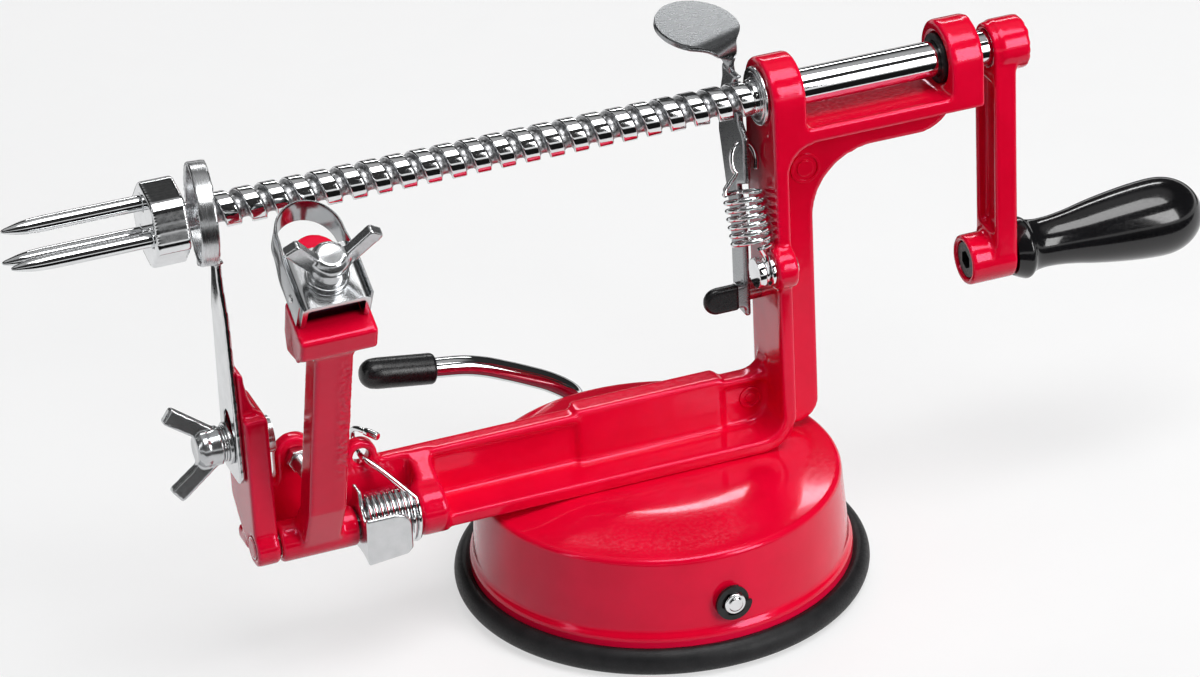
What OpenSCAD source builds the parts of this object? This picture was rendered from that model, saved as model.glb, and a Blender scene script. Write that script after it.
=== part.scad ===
// Hand-cranked apple peeler on a suction base.
// Millimetres, +Z up, +X along the shaft towards the crank, +Y away from the peeler arm.
// The origin is the middle of the suction pad's underside.

/* [Base] */
// Radius of the rubber pad over its lip
pad_r = 52; // [50:0.5:56]
// Radius of the lip's round edge
pad_lip = 3.7; // [3.2:0.1:4.2]
// Thickness of the pad between its lip
pad_skin = 2.4; // [1.8:0.1:3]
// Height of the dome's crown over the table
dome_h = 32; // [30:0.5:36]
// Wall of the pressed dome
dome_wall = 1.4; // [1:0.1:1.8]
// How far the dome's skirt draws in towards its shoulder
dome_draw = 2.3; // [2:0.1:4]
// Radius of the raised crown that carries the rail
crown_r = 30; // [27:0.5:33]

/* [Suction lever] */
// Height of the lever's axle over the table
axle_z = 16.7; // [15.5:0.1:18]
// Radius of the lever's rod
axle_r = 2.7; // [2.4:0.1:3]
// Radius of the eccentric on the axle
cam_r = 6; // [5.6:0.1:6.4]
// Throw of the eccentric
cam_throw = 1.8; // [1.4:0.1:2]
// Length of the eccentric along the axle
cam_l = 7; // [5:0.5:9]
// Reach of the lever along the rail
lever_reach = 56; // [54:1:60]
// Rise of the lever's end over its axle
lever_rise = 27.3; // [24:0.1:30]
// Radius of the lever's rubber grip
lever_grip_r = 4; // [3.6:0.1:5]
// Length of the lever's rubber grip
lever_grip_l = 19; // [16:0.5:19.5]

/* [Frame] */
// Width of the flanges and bearing blocks
frame_w = 19; // [17:0.5:21]
// Thickness of the flanges
flange_t = 3.6; // [3:0.1:4.5]
// Thickness of the web
web_t = 4; // [3:0.1:4.6]
// Distance of the web's front face behind the shaft's plane
web_y = 1.4; // [1.2:0.1:2]
// Height of the rail
rail_h = 17; // [15:0.5:19]
// Left face of the post
post_x = 30.3; // [28:0.1:33]
// Depth of the web behind the post
post_web = 10.6; // [8:0.1:13]
// Length of the top beam from the post's left face
beam_l = 55.7; // [52:0.1:62]
// Length of each bearing block
bearing_l = 8.8; // [8:0.1:11]
// Height of the beam's top below the shaft
beam_drop = 7.4; // [7.2:0.1:8.5]
// Left face of the front upright
upright_x = -107; // [-110:0.5:-104]
// Distance from there to the left end of the rail's front flange
pin_span = 48; // [46:0.5:50]
// Thickness of the front upright
upright_t = 6; // [5:0.1:7]
// Height of the front upright
upright_h = 41; // [38:0.5:44]

/* [Shaft and fork] */
// Height of the shaft over the table
shaft_z = 125; // [122:0.5:128]
// Radius of the plain shaft
shaft_r = 4.45; // [4.2:0.05:4.7]
// Lead of the feed thread
thread_lead = 6.2; // [5.6:0.1:6.8]
// Width of the thread's ridge
ridge_w = 3.8; // [3.4:0.1:4.2]
// Depth of the thread's groove
groove_h = 1.5; // [1.2:0.1:1.8]
// Length of the fork's hub
hub_l = 8.4; // [7.8:0.1:9]
// Radius of the fork's hub over its corners
hub_r = 10.2; // [9.6:0.1:10.5]
// Radius of a prong
prong_r = 1.9; // [1.6:0.1:2.2]
// Length of a prong in front of the hub
prong_l = 33.5; // [30:0.5:36]
// Distance of the prongs from the shaft's axis
prong_out = 5.4; // [5:0.1:5.8]
// Turn of the fork about the shaft's axis, degrees
fork_turn = -17; // [-30:1:30]
// Wall of the shaft's bushes
bush_wall = 1.7; // [1.4:0.1:2]

/* [Crank] */
// Reach of the crank
crank_reach = 57; // [50:0.5:64]
// Width of the crank's arm
crank_w = 12.4; // [11:0.1:14]
// Thickness of the crank's arm
crank_t = 5.9; // [5.2:0.1:6.6]
// Length of the crank's upper boss
crank_hub_l = 7.4; // [6.5:0.1:9]
// Length of the crank's lower boss
crank_boss_l = 12.4; // [11:0.1:15]
// Length of the handle
handle_l = 53; // [48:0.5:58]
// Largest radius of the handle
handle_r = 10; // [9:0.1:11]
// Radius of the handle's bolt
handle_bolt_r = 3; // [2.5:0.1:3.4]

/* [Peeler arm] */
// Distance of the arm's pin in front of the shaft's plane
pin_out = 6.5; // [6.3:0.1:7.5]
// Height of the arm's pin over the rail's underside
pin_h = 5.4; // [5:0.1:6.5]
// Radius of the arm's pin
pin_r = 2.8; // [2.4:0.1:3.2]
// Radius of the arm's hub
arm_hub_r = 5; // [4.6:0.1:5.6]
// Length of the arm's hub
arm_hub_l = 19.6; // [18.6:0.1:20]
// Lean of the arm away from the shaft, degrees
arm_lean = 17.7; // [17.4:0.1:19]
// Width of the arm's column
arm_w = 9.5; // [8:0.1:11]
// Depth of the arm's column
arm_d = 7.3; // [6.5:0.1:8.5]
// Distance of the bracket from the pin along the arm
head_up = 85.5; // [84:0.1:87]
// Tilt of the peeler's bracket, degrees
head_tilt = 30; // [28:0.5:33]
// Width of the arm's head
head_w = 18.8; // [18:0.1:20]

/* [Peeler blade] */
// Width of the bracket over its sides
bracket_w = 16.6; // [16:0.1:17.4]
// Length of the bracket
bracket_l = 16; // [15:0.5:17]
// Sheet thickness of the bracket
bracket_t = 1.3; // [1:0.1:1.5]
// Thickness of the blade's strip
blade_t = 0.7; // [0.6:0.05:0.9]
// Reach of the blade past the bolt
blade_reach = 21.6; // [20.5:0.1:21.8]
// Way that the bracket can be set in or out
bracket_way = 2; // [1:0.1:2.4]

/* [Slicer] */
// Outer radius of the coring ring
ring_r = 12.4; // [12.2:0.1:13]
// Wall of the coring ring
ring_wall = 0.9; // [0.8:0.05:1.1]
// Length of the coring ring along the shaft
ring_l = 4.5; // [4:0.1:5.5]
// Turn of the coring ring away from the shaft, degrees
ring_turn = 8; // [0:0.5:9]
// Width of the slicer's arm
slicer_w = 14; // [13:0.1:15]
// Sheet thickness of the slicer's arm
slicer_t = 1.5; // [1.2:0.1:1.8]
// Height of the slicer's bolt over the rail's underside
slicer_bolt_h = 31.6; // [28:0.1:32]
// Way that the slicer can be set down
slicer_way = 6; // [4:0.1:6.5]
// Radius of both clamp bolts
bolt_r = 2.5; // [2.2:0.05:2.6]
// Reach of a wing nut's wings
wing_reach = 11.8; // [10.8:0.1:12.4]

/* [Feed release] */
// Sheet thickness of the thumb lever
thumb_t = 1.6; // [1.4:0.05:1.7]
// Radius of the thumb pad
thumb_pad_r = 10.5; // [9:0.1:12]
// Height of the thumb pad over the shaft
thumb_pad_up = 14.5; // [13.6:0.1:15.6]
// Distance of the thumb pad's middle behind the lever's pivot
thumb_pad_back = 9; // [8:0.1:10]
// Height of the thumb lever's pivot over the rail's underside
pivot_h = 39; // [37:0.5:42]
// Distance of the thumb lever's pivot behind the shaft's plane
pivot_y = 5; // [4.6:0.1:5.6]
// Radius of the thumb lever's pivot
pivot_r = 1.8; // [1.5:0.1:2]
// Height of the spring's stud over the rail's underside
stud_h = 50.4; // [49:0.1:52]
// Height of the spring's hole over the rail's underside
hook_h = 81; // [80:0.1:82]

/* [Springs] */
// Wire of the return spring
return_wire = 1.1; // [0.9:0.05:1.2]
// Radius of the return spring's coil at the middle of its wire
return_r = 4.7; // [4.4:0.05:4.9]
// Turns of the return spring
return_turns = 6.75; // [5.75:1:7.75]
// Step of the return spring from turn to turn
return_step = 2.05; // [1.8:0.05:2.2]
// Wire of the arm's spring
arm_wire = 1.4; // [1.1:0.05:1.45]
// Radius of the arm spring's coil at the middle of its wire
arm_coil_r = 6.7; // [6.4:0.05:6.8]
// Turns of the arm's spring
arm_turns = 6.25; // [5.25:1:6.25]
// Step of the arm's spring from turn to turn
arm_step = 1.95; // [1.9:0.01:2]

/* [Fits] */
// Radial clearance of parts that turn or slide
run_fit = 0.05; // [0.02:0.01:0.08]
// Clearance between neighbours that move past each other
part_gap = 0.3; // [0.25:0.05:0.4]

/* [Hidden] */
$fn = 48;

// Finishes
red = "#c4122b";
chrome = "#d9dadc";
zinc = "#b9bcc0";
steel = "#c6c8cb";
black = "#1b1b1d";

// Base
lip_c = pad_r - pad_lip;
seat_z = 2 * pad_lip - 0.9;
rim_r = lip_c - 0.4;
shoulder_r = rim_r - dome_draw;
shoulder_z = dome_h - 2;
shoulder_round = 4;
rim_flare = 0.8;
rim_h = 2.6;
crown_step = 4;
dome_fn = 96;

// Suction lever
rod_y = rim_r + axle_r + 1.4;
cam_play = 0.8;
yoke_wall = 2.4;
yoke_in = cam_r + cam_throw + 0.5;
yoke_top = axle_z - cam_throw + cam_r + 0.1;
yoke_low = axle_z - cam_throw - cam_r - cam_play;
plate_r = 13;
clip_y = -(rim_r - dome_draw * 0.45);
clip_r = axle_r + 1.9;
clip_t = 0.9;
axle_tip = 2.4;
// Where the axle ends and the bent lever goes on
axle_end = rod_y - 7;
grip_over = 3;
// Bends of the lever's rod, from inside the axle's end to the grip
lever_path = [
    [0, axle_end - 2, axle_z], [0, rod_y - 4, axle_z], [-0.3, rod_y - 1.2, axle_z + 0.8],
    [-0.8, rod_y, axle_z + 3.4], [-1.6, rod_y, axle_z + 0.24 * lever_rise],
    [-0.07 * lever_reach, rod_y, axle_z + 0.36 * lever_rise],
    [-0.16 * lever_reach, rod_y, axle_z + 0.5 * lever_rise],
    [-0.27 * lever_reach, rod_y, axle_z + 0.62 * lever_rise],
    [-0.38 * lever_reach, rod_y, axle_z + 0.73 * lever_rise],
    [-0.47 * lever_reach, rod_y, axle_z + 0.81 * lever_rise],
    [-0.57 * lever_reach, rod_y, axle_z + 0.87 * lever_rise],
    [-0.7 * lever_reach, rod_y, axle_z + 0.91 * lever_rise],
    [-lever_reach, rod_y, axle_z + lever_rise]
];

// Frame
half_w = frame_w / 2;
rail_z = dome_h;
rail_top = rail_z + rail_h;
bend_r = 5.5;
post_in_x = post_x + flange_t;
post_out_x = post_in_x + post_web;
beam_x = post_x + beam_l;
beam_top = shaft_z - beam_drop;
beam_low = beam_top - 13;
corner_r = 6;
gusset_r = 16;
beam_nose = 10;
fillet_r = 8;
upright_in = upright_x + upright_t;
flange_x = upright_x + pin_span;
fin_h = 11;
fin_t = 1.6;
bolster_x = -20;
bolster_l = 38;
boss_l = 6.4;
boss_x = flange_x - boss_l + 0.4;
boss_r = 6.5;
boss_step = 1.2;
screw_r = 1.6;
screw_head_r = 3.6;
screw_head_h = 2.3;
screw_gap = 15.5;
screw_deep = 11;

// Pin, lugs and stop
pin_y = -pin_out;
pin_z = rail_z + pin_h;
foot_r = 4.8;
lug_r = 4.2;
lug_hole = 2.1;
spring_lug_x = boss_x - 10.6;
stop_x = upright_in + 9;
stop_r = 2;
stop_z = rail_top + 6;
stop_lug_r = 5.2;

// Shaft; the thread is set so that the thumb lever's tooth lies in the middle of a groove
thumb_gap = 3.3;
thumb_x = post_x - thumb_gap - thumb_t;
tooth_x = thumb_x + thumb_t / 2;
thread_r = shaft_r - 0.1;
root_r = thread_r - groove_h;
thread_x1 = thumb_x + thumb_t + 0.7;
thread_left = upright_x - 2.6;
ridge_x = tooth_x - (thread_lead + ridge_w) / 2;
thread_x0 = ridge_x - thread_lead * floor((ridge_x - thread_left) / thread_lead);
neck_r = root_r + 0.6;
hub_x1 = upright_x - 8.6;
hub_x0 = hub_x1 - hub_l;
prong_tip = 9;
prong_seat = 5.6;
thread_steps = 24;

// Bushes
bush_r = shaft_r + run_fit + bush_wall;
bush_lip = 1.1;

// Crank
crank_x = beam_x + 6.4;
crank_x1 = crank_x + crank_hub_l;
crank_arm_x = crank_x - 2.2;
crank_out = crank_arm_x + crank_t;
crank_boss_x = crank_out - crank_boss_l;
crank_z = shaft_z - crank_reach;
crank_hub_r = crank_w / 2 + 0.5;
crank_boss_r = crank_w / 2 + 0.2;
crank_pocket = 2.6;
grip_x = crank_out + part_gap;
socket_r = handle_bolt_r + 1.5;
socket_deep = 5;

// Peeler arm
arm_x0 = upright_in + part_gap;
arm_mid = arm_x0 + arm_hub_l / 2;
col_top = head_up - 17.5;
col_back = -0.5;
head_turn = head_tilt - arm_lean;
head_drop = 6.6;
head_lip = 2.9;
head_face = 5.4;
bracket_h = head_drop + bracket_t - part_gap;
blade_w = bracket_h;
block_w = bracket_w - 2 * bracket_t - 0.2;
nose_r = block_w / 2 - 1.2;
nose_tip = blade_reach - blade_t - 7.8;

// Latch
latch_t = 1.2;
latch_x = arm_x0 + arm_hub_l + 0.2;
latch_pad_y = pin_y - arm_coil_r - arm_wire / 2 - 0.6;
latch_pad_l = 11.5;
latch_r = 6.2;

// Peeler clamp, measured along the bolt from the bracket's underside
washer_z = bracket_t + 0.1;
washer_t = 1;
washer_r = bolt_r + 2.7;
lock_t = 1.2;
nut_z = washer_z + washer_t + lock_t + 0.1;
nut_h = 5;
wing_h = 14;

// Slicer
slicer_x = upright_x - 0.1 - slicer_t;
slicer_z = rail_z + slicer_bolt_h;
ring_in = ring_r - ring_wall;
ring_x = slicer_x + slicer_t - ring_l - 0.7;
slicer_low = slicer_z - bolt_r - 6.5;

// Feed release
pivot_z = rail_z + pivot_h;
notch_r = shaft_r + 0.5;
tooth_h = 1;
tooth_t = thumb_t - 0.5;
tab_r = 3.1;
tab_out = 7.3;
tab_side = 4;
pad_tilt = [10.4, 5.2, 0];
neck_at = -70;
pad_at = [thumb_x + thumb_t - thumb_pad_r + 4.1, pivot_y + thumb_pad_back, shaft_z + thumb_pad_up];

// Return spring
stud_y = -half_w + 0.5;
stud_z = rail_z + stud_h;
stud_r = 3.8;
stud_boss = 1.8;
stud_groove_r = 1.6;
stud_x = post_x - 6.3;
groove_x = stud_x + 1.9;
groove_w = return_wire + 0.4;
hook_y = pivot_y - 2.6;
hook_z = rail_z + hook_h;
hook_hole = return_wire / 2 + 1.1;
coil_x = post_x - part_gap - return_wire / 2 - return_r;
pull = [hook_y - stud_y, hook_z - stud_z];
pull_l = norm(pull);
pull_dir = pull / pull_l;
hook_r = stud_groove_r + return_wire / 2 + 0.15;
coil_s0 = hook_r + 4;
coil_s1 = coil_s0 + return_turns * return_step;
hook_x = tooth_x - coil_x;
loop_r = 2.6;
hook_s = pull_l - loop_r - 0.5;

// Point in the return spring's plane, across the pull and along it
function beside_coil(v, s) = [stud_y, stud_z] + v * [pull_dir[1], -pull_dir[0]] + s * pull_dir;

// Arm spring
arm_spring_x = latch_x + latch_t + arm_wire / 2 + 0.5;
arm_spring_x1 = arm_spring_x + arm_turns * arm_step;
arm_leave = 125;
coil_steps = 8;
sleeve_x = latch_x + latch_t + 0.1;
sleeve_r = arm_coil_r * cos(180 / coil_steps) - arm_wire / 2 - part_gap;

// Points of an arc about c, from angle a0 to a1
function arc(c, r, a0, a1, n = 8) =
    [for (i = [0:n]) let (a = a0 + (a1 - a0) * i / n) c + r * [cos(a), sin(a)]];

// Direction of path p at point i
function along(p, i) =
    let (d = p[min(i + 1, len(p) - 1)] - p[max(i - 1, 0)]) d / norm(d);

// Part of v that is square to t, at unit length
function square_to(v, t) = let (w = v - (v * t) * t) w / norm(w);

// Side directions along path p, carried on from point to point without twist
function sides(p, start) =
    [for (i = 0, s = square_to(start, along(p, 0)); i < len(p);
          i = i + 1, s = square_to(s, along(p, min(i, len(p) - 1)))) s];

// Least gap between a wire's surfaces, for points that lie at least apart steps from each other
function wire_gap(p, d, apart) =
    min([for (i = [0:len(p) - 1]) for (j = [i + apart:1:len(p) - 1]) norm(p[i] - p[j])]) - d;

// Plate in the XZ plane, from y0 over t
module plate_xz(y0, t) translate([0, y0 + t, 0]) rotate([90, 0, 0]) linear_extrude(t) children();

// Plate in the YZ plane, from x0 over t
module plate_yz(x0, t) translate([x0, 0, 0]) rotate([90, 0, 90]) linear_extrude(t) children();

// Rod along +X from a point
module rod_x(x, y, z, l, r, r2 = undef)
    translate([x, y, z])
        rotate([0, 90, 0])
            cylinder(h = l, r1 = r, r2 = is_undef(r2) ? r : r2);

// Rod along +Y from a point
module rod_y(x, y, z, l, r) translate([x, y, z]) rotate([-90, 0, 0]) cylinder(h = l, r = r);

// Round wire of diameter d along path p, with m sides
module wire(p, d, start, m = 6) {
    side = sides(p, start);
    ring = [for (i = [0:len(p) - 1])
        let (t = along(p, i), u = side[i], v = cross(t, u))
            [for (k = [0:m - 1]) p[i] + d / 2 * (cos(360 * k / m) * u + sin(360 * k / m) * v)]];
    last = m * (len(p) - 1);
    walls = [for (i = [0:len(p) - 2]) for (k = [0:m - 1])
        let (a = m * i + k, b = m * i + (k + 1) % m)
            each [[a, a + m, b], [b, a + m, b + m]]];
    start_cap = [for (k = [1:m - 2]) [0, k, k + 1]];
    end_cap = [for (k = [1:m - 2]) [last, last + k + 1, last + k]];
    polyhedron([for (r = ring) each r], concat(walls, start_cap, end_cap));
}

// Wing nut that stands on z = 0
module wing_nut() {
    difference() {
        union() {
            cylinder(h = nut_h, r1 = bolt_r + 2.4, r2 = bolt_r + 1.5);
            for (s = [0, 1])
                mirror([s, 0, 0])
                    plate_xz(-1.3, 2.6)
                        polygon([
                            [bolt_r + 0.4, 0.8], [bolt_r + 2.4, 1.3], [wing_reach - 0.2, wing_h - 3.8],
                            [wing_reach, wing_h - 3], [wing_reach - 2.8, wing_h - 0.8],
                            [wing_reach - 3.5, wing_h - 1], [bolt_r + 0.4, nut_h + 0.4]
                        ]);
        }
        translate([0, 0, -1]) cylinder(h = nut_h + 2, r = bolt_r + run_fit);
    }
}

// Outer outline of the dome in its section, grown by g
module dome_section(g) {
    polygon(concat(
        [[0, seat_z], [rim_r - g, seat_z], [rim_r - g, seat_z + rim_h - g]],
        [[rim_r - rim_flare - g, seat_z + rim_h + 1 - g]],
        arc([shoulder_r - shoulder_round, shoulder_z - shoulder_round], shoulder_round - g, 0, 80),
        [[crown_r + crown_step, shoulder_z + 0.9 - g]],
        arc([crown_r, dome_h - 3], 3 - g, 50, 90, 4),
        [[0, dome_h - g]]));
}

module base_dome() color(red) difference() {
    rotate_extrude($fn = dome_fn) difference() {
        dome_section(0);
        translate([-0.01, -0.01]) dome_section(dome_wall);
    }
    rod_y(0, -pad_r, axle_z, 2 * pad_r, axle_r + run_fit);
    for (s = [-1, 1])
        translate([s * screw_gap, web_y + web_t / 2, shoulder_z]) cylinder(h = 9, r = screw_r + run_fit);
}

module suction_pad() color(black) rotate_extrude($fn = dome_fn) difference() {
    union() {
        square([lip_c, pad_skin]);
        translate([lip_c, pad_lip]) circle(pad_lip);
        translate([rim_r - 3, 0]) square([3.4, seat_z]);
    }
    translate([0, seat_z]) square([lip_c - 0.3, pad_lip * 2]);
    translate([-pad_r, 0]) square([pad_r, pad_r]);
}

module pad_stem() color(black) difference() {
    union() {
        translate([0, 0, pad_skin]) cylinder(h = 2.2, r = plate_r);
        translate([-yoke_in - yoke_wall, -cam_l / 2, pad_skin])
            cube([2 * (yoke_in + yoke_wall), cam_l, yoke_top + yoke_wall - pad_skin]);
    }
    translate([-yoke_in, -cam_l, yoke_low]) cube([2 * yoke_in, 2 * cam_l, yoke_top - yoke_low]);
}

module suction_lever() color(chrome) {
    rod_y(0, clip_y - axle_tip, axle_z, axle_end - clip_y + axle_tip, axle_r);
    wire(lever_path, 2 * axle_r - run_fit, [1, 0, 0], 12);
}

module lever_cam() color(zinc) difference() {
    rod_y(0, -cam_l / 2 + 0.2, axle_z - cam_throw, cam_l - 0.4, cam_r);
    rod_y(0, -cam_l, axle_z, 2 * cam_l, axle_r + run_fit);
}

module lever_grip() color(black) {
    tip = lever_path[len(lever_path) - 1];
    run = tip - lever_path[len(lever_path) - 2];
    translate(tip)
        rotate([0, 90 + atan2(run[2], -run[0]), 0])
            difference() {
                rotate_extrude()
                    polygon(concat(
                        [[0, lever_grip_l - grip_over], [0, -grip_over]],
                        arc([0.4, 0.6], lever_grip_r - 0.4, -90, 0),
                        [[lever_grip_r, lever_grip_l - grip_over - 0.6]],
                        [[lever_grip_r - 0.6, lever_grip_l - grip_over]]));
                cylinder(h = lever_grip_l, r = axle_r + run_fit);
            }
}

module lever_clip() color(black) difference() {
    rod_y(0, clip_y - 0.5 - clip_t, axle_z, clip_t, clip_r);
    rod_y(0, clip_y - clip_t - 1.5, axle_z, clip_t + 2, axle_r + run_fit);
}

module frame_screws() color(zinc) for (s = [-1, 1])
    translate([s * screw_gap, web_y + web_t / 2, dome_h - dome_wall - 0.05]) {
        translate([0, 0, -screw_head_h]) cylinder(h = screw_head_h, r = screw_head_r);
        cylinder(h = dome_wall + screw_deep - 1, r = screw_r);
    }

// Web of the casting: rail, post and beam in one outline
module web_outline() polygon(concat(
    [[upright_x + 1, rail_z]],
    arc([post_out_x - corner_r, rail_z + corner_r], corner_r, -90, 0),
    arc([post_out_x + gusset_r, beam_low - gusset_r], gusset_r, 180, 90),
    arc([beam_x - 3 - beam_nose, beam_low + beam_nose], beam_nose, -90, 0),
    [[beam_x - 3, beam_top], [post_x, beam_top]],
    arc([post_x - bend_r, rail_top + bend_r], bend_r, 0, -90),
    [[upright_x + 1, rail_top]]));

// Bend of the flange from the rail into the post
module flange_bend() {
    c = [post_x - bend_r, rail_z + flange_t + bend_r];
    polygon(concat(arc(c, bend_r + flange_t, -90, 0), arc(c, bend_r, 0, -90)));
}

// Round corner between the post and the beam's flange
module post_fillet() polygon(concat(
    [[post_x, beam_top - flange_t + 0.1], [post_x, beam_top - flange_t - fillet_r]],
    arc([post_in_x + fillet_r, beam_top - flange_t - fillet_r], fillet_r, 180, 90),
    [[post_in_x + fillet_r, beam_top - flange_t + 0.1]]));

module bearing(x) plate_yz(x, bearing_l) {
    translate([0, shaft_z]) circle(half_w);
    translate([-half_w, beam_top - flange_t]) square([frame_w, shaft_z - beam_top + flange_t]);
}

module upright_outline() {
    translate([pin_y, pin_z]) circle(foot_r);
    polygon([
        [-half_w, rail_z + upright_h], [-half_w, pin_z], [pin_y + 2, pin_z - foot_r + 0.6],
        [half_w - 1, rail_z + 13], [half_w - 1, rail_z + upright_h - 3], [half_w - 4, rail_z + upright_h]
    ]);
}

// Fin behind the slicer's arm, hollowed towards the upright
module fin_outline() polygon(concat(
    [[upright_x, rail_z + upright_h - 1], [upright_x, rail_z + upright_h + fin_h]],
    [[upright_x + fin_t, rail_z + upright_h + fin_h]],
    [for (i = [1:6]) [
        upright_x + fin_t + (upright_t - fin_t) * (1 - cos(15 * i)),
        rail_z + upright_h + fin_h * (1 - sin(15 * i))]],
    [[upright_in, rail_z + upright_h - 1]]));

// Boss that holds the pin's right end, with its gusset on the web
module pin_boss() {
    rod_x(boss_x, pin_y, pin_z, boss_l, boss_r);
    rod_x(boss_x - boss_step, pin_y, pin_z, boss_step + 0.2, boss_r - 1);
    plate_yz(boss_x + 1, boss_l - 1)
        polygon([
            [web_y + 0.5, rail_top], [pin_y - 2, pin_z + boss_r - 1.2],
            [pin_y, rail_z], [web_y + 0.5, rail_z]
        ]);
}

module frame() color(red) difference() {
    union() {
        plate_xz(web_y, web_t) web_outline();
        translate([flange_x, -half_w, rail_z]) cube([post_x - bend_r - flange_x, frame_w, flange_t]);
        translate([upright_x + 1, web_y, rail_z]) cube([flange_x - upright_x, half_w - web_y, flange_t]);
        plate_xz(-half_w, frame_w) flange_bend();
        translate([post_x, -half_w, rail_z + flange_t + bend_r])
            cube([flange_t, frame_w, beam_top - rail_z - flange_t - bend_r]);
        translate([post_x, -half_w, beam_top - flange_t]) cube([beam_l, frame_w, flange_t]);
        plate_xz(-half_w, frame_w) post_fillet();
        bearing(post_x);
        bearing(beam_x - bearing_l);
        plate_yz(upright_x, upright_t) upright_outline();
        plate_xz(-slicer_w / 2, slicer_w) fin_outline();
        pin_boss();
        translate([bolster_x, web_y - 1, rail_z]) cube([bolster_l, web_t + 2.5, rail_h + 0.8]);
        plate_xz(web_y, web_t) translate([spring_lug_x, rail_top + 1.6]) circle(lug_r);
        plate_xz(web_y, web_t) {
            translate([stop_x, stop_z]) circle(stop_lug_r);
            translate([stop_x - stop_lug_r, rail_z]) square([2 * stop_lug_r, stop_z - rail_z]);
        }
        rod_x(post_x - stud_boss, stud_y, stud_z, stud_boss + flange_t, stud_r + 1.5);
    }
    rod_x(post_x - 1, 0, shaft_z, bearing_l + 2, bush_r + run_fit);
    rod_x(beam_x - bearing_l - 1, 0, shaft_z, bearing_l + 2, bush_r + run_fit);
    rod_x(upright_x - 1, pin_y, pin_z, boss_x + boss_l - 1 - upright_x, pin_r + run_fit);
    rod_x(upright_x - 1, 0, slicer_z, upright_t + 2, bolt_r + run_fit);
    rod_x(post_x - stud_boss - 1, stud_y, stud_z, stud_boss + flange_t + 2, stud_groove_r + run_fit);
    rod_x(post_x - 1, pivot_y, pivot_z, flange_t + post_web, pivot_r + run_fit);
    rod_y(spring_lug_x, web_y - 1, rail_top + 1.6, web_t + 2, lug_hole);
    rod_y(stop_x, web_y - 1, stop_z, web_t + 2, stop_r + run_fit);
    for (s = [-1, 1])
        translate([s * screw_gap, web_y + web_t / 2, rail_z - 1]) cylinder(h = screw_deep + 1, r = screw_r + run_fit);
}

// Threaded stretch of the shaft: a ridge that winds round its own groove, closed by a fan at each end
module feed_thread() {
    turns = (thread_x1 + 2 - thread_x0) / thread_lead;
    n = ceil(turns * thread_steps);
    place = function (i, x, r)
        let (a = 360 * i / thread_steps)
            [thread_x0 + thread_lead * i / thread_steps + x, r * cos(a), r * sin(a)];
    points = concat(
        [for (i = [0:n]) each [
            place(i, 0, root_r), place(i, 0, thread_r),
            place(i, ridge_w, thread_r), place(i, ridge_w, root_r)]],
        [[thread_x0 + thread_lead / 2, 0, 0], [thread_x0 + thread_lead * turns + ridge_w - 1, 0, 0]]);
    m = n - thread_steps;
    first = 4 * (n + 1);
    ridge = [for (i = [0:n - 1]) for (k = [0:2])
        let (a = 4 * i + k, b = a + 1)
            each [[a, b, a + 4], [b, b + 4, a + 4]]];
    groove = [for (i = [0:m - 1])
        let (a = 4 * i + 3, b = 4 * (i + thread_steps))
            each [[a, b, a + 4], [b, b + 4, a + 4]]];
    start_fan = concat(
        [for (i = [0:thread_steps - 1]) [first, 4 * i, 4 * i + 4]],
        [[first, 1, 0], [first, 2, 1], [first, 3, 2], [first, 4 * thread_steps, 3]]);
    end_fan = concat(
        [for (i = [m:n - 1]) [first + 1, 4 * i + 7, 4 * i + 3]],
        [[first + 1, 4 * m + 3, 4 * n], [first + 1, 4 * n, 4 * n + 1],
         [first + 1, 4 * n + 1, 4 * n + 2], [first + 1, 4 * n + 2, 4 * n + 3]]);
    translate([0, 0, shaft_z]) polyhedron(points, concat(ridge, groove, start_fan, end_fan));
}

module crank_shaft() color(chrome) difference() {
    union() {
        feed_thread();
        rod_x(thread_x1, 0, shaft_z, crank_x1 - 1 - thread_x1, shaft_r);
        rod_x(hub_x0 + 2, 0, shaft_z, thread_x0 + thread_lead - hub_x0 - 2, neck_r);
    }
    rod_x(crank_x1 - 11, 0, shaft_z, 12, 2 + run_fit);
}

module front_bush() color(zinc) difference() {
    union() {
        rod_x(post_x - bush_lip, 0, shaft_z, bearing_l + bush_lip, bush_r);
        rod_x(post_x - bush_lip, 0, shaft_z, bush_lip, bush_r + 1.1);
    }
    rod_x(post_x - bush_lip - 1, 0, shaft_z, bearing_l + bush_lip + 2, shaft_r + run_fit);
}

module rear_bush() color(black) difference() {
    rod_x(beam_x - bearing_l - 0.6, 0, shaft_z, bearing_l + 0.6, bush_r);
    rod_x(beam_x - bearing_l - 1, 0, shaft_z, bearing_l + 2, shaft_r + run_fit);
}

module fork_hub() color(chrome) difference() {
    intersection() {
        rod_x(hub_x0, 0, shaft_z, hub_l, hub_r);
        translate([hub_x0, 0, shaft_z])
            rotate([0, 90, 0])
                rotate([0, 0, fork_turn])
                    cylinder(h = hub_l, r = hub_r + 0.6, $fn = 6);
    }
    rod_x(hub_x0 + 2 - run_fit, 0, shaft_z, hub_l, neck_r + run_fit);
    for (a = [0, 120, 240])
        translate([0, 0, shaft_z])
            rotate([a + fork_turn, 0, 0])
                rod_x(hub_x0 - 1, 0, prong_out, prong_seat + 1, prong_r + run_fit);
}

module fork_prongs() color(chrome) for (a = [0, 120, 240])
    translate([hub_x0 + prong_seat, 0, shaft_z])
        rotate([a + fork_turn, 0, 0])
            translate([0, 0, prong_out])
                rotate([0, -90, 0])
                    rotate_extrude()
                        polygon([
                            [0, 0], [prong_r, 0], [prong_r, prong_seat + prong_l - prong_tip],
                            [prong_r * 0.8, prong_seat + prong_l - prong_tip * 0.55],
                            [0.5, prong_seat + prong_l - 0.5], [0, prong_seat + prong_l]
                        ]);

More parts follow.
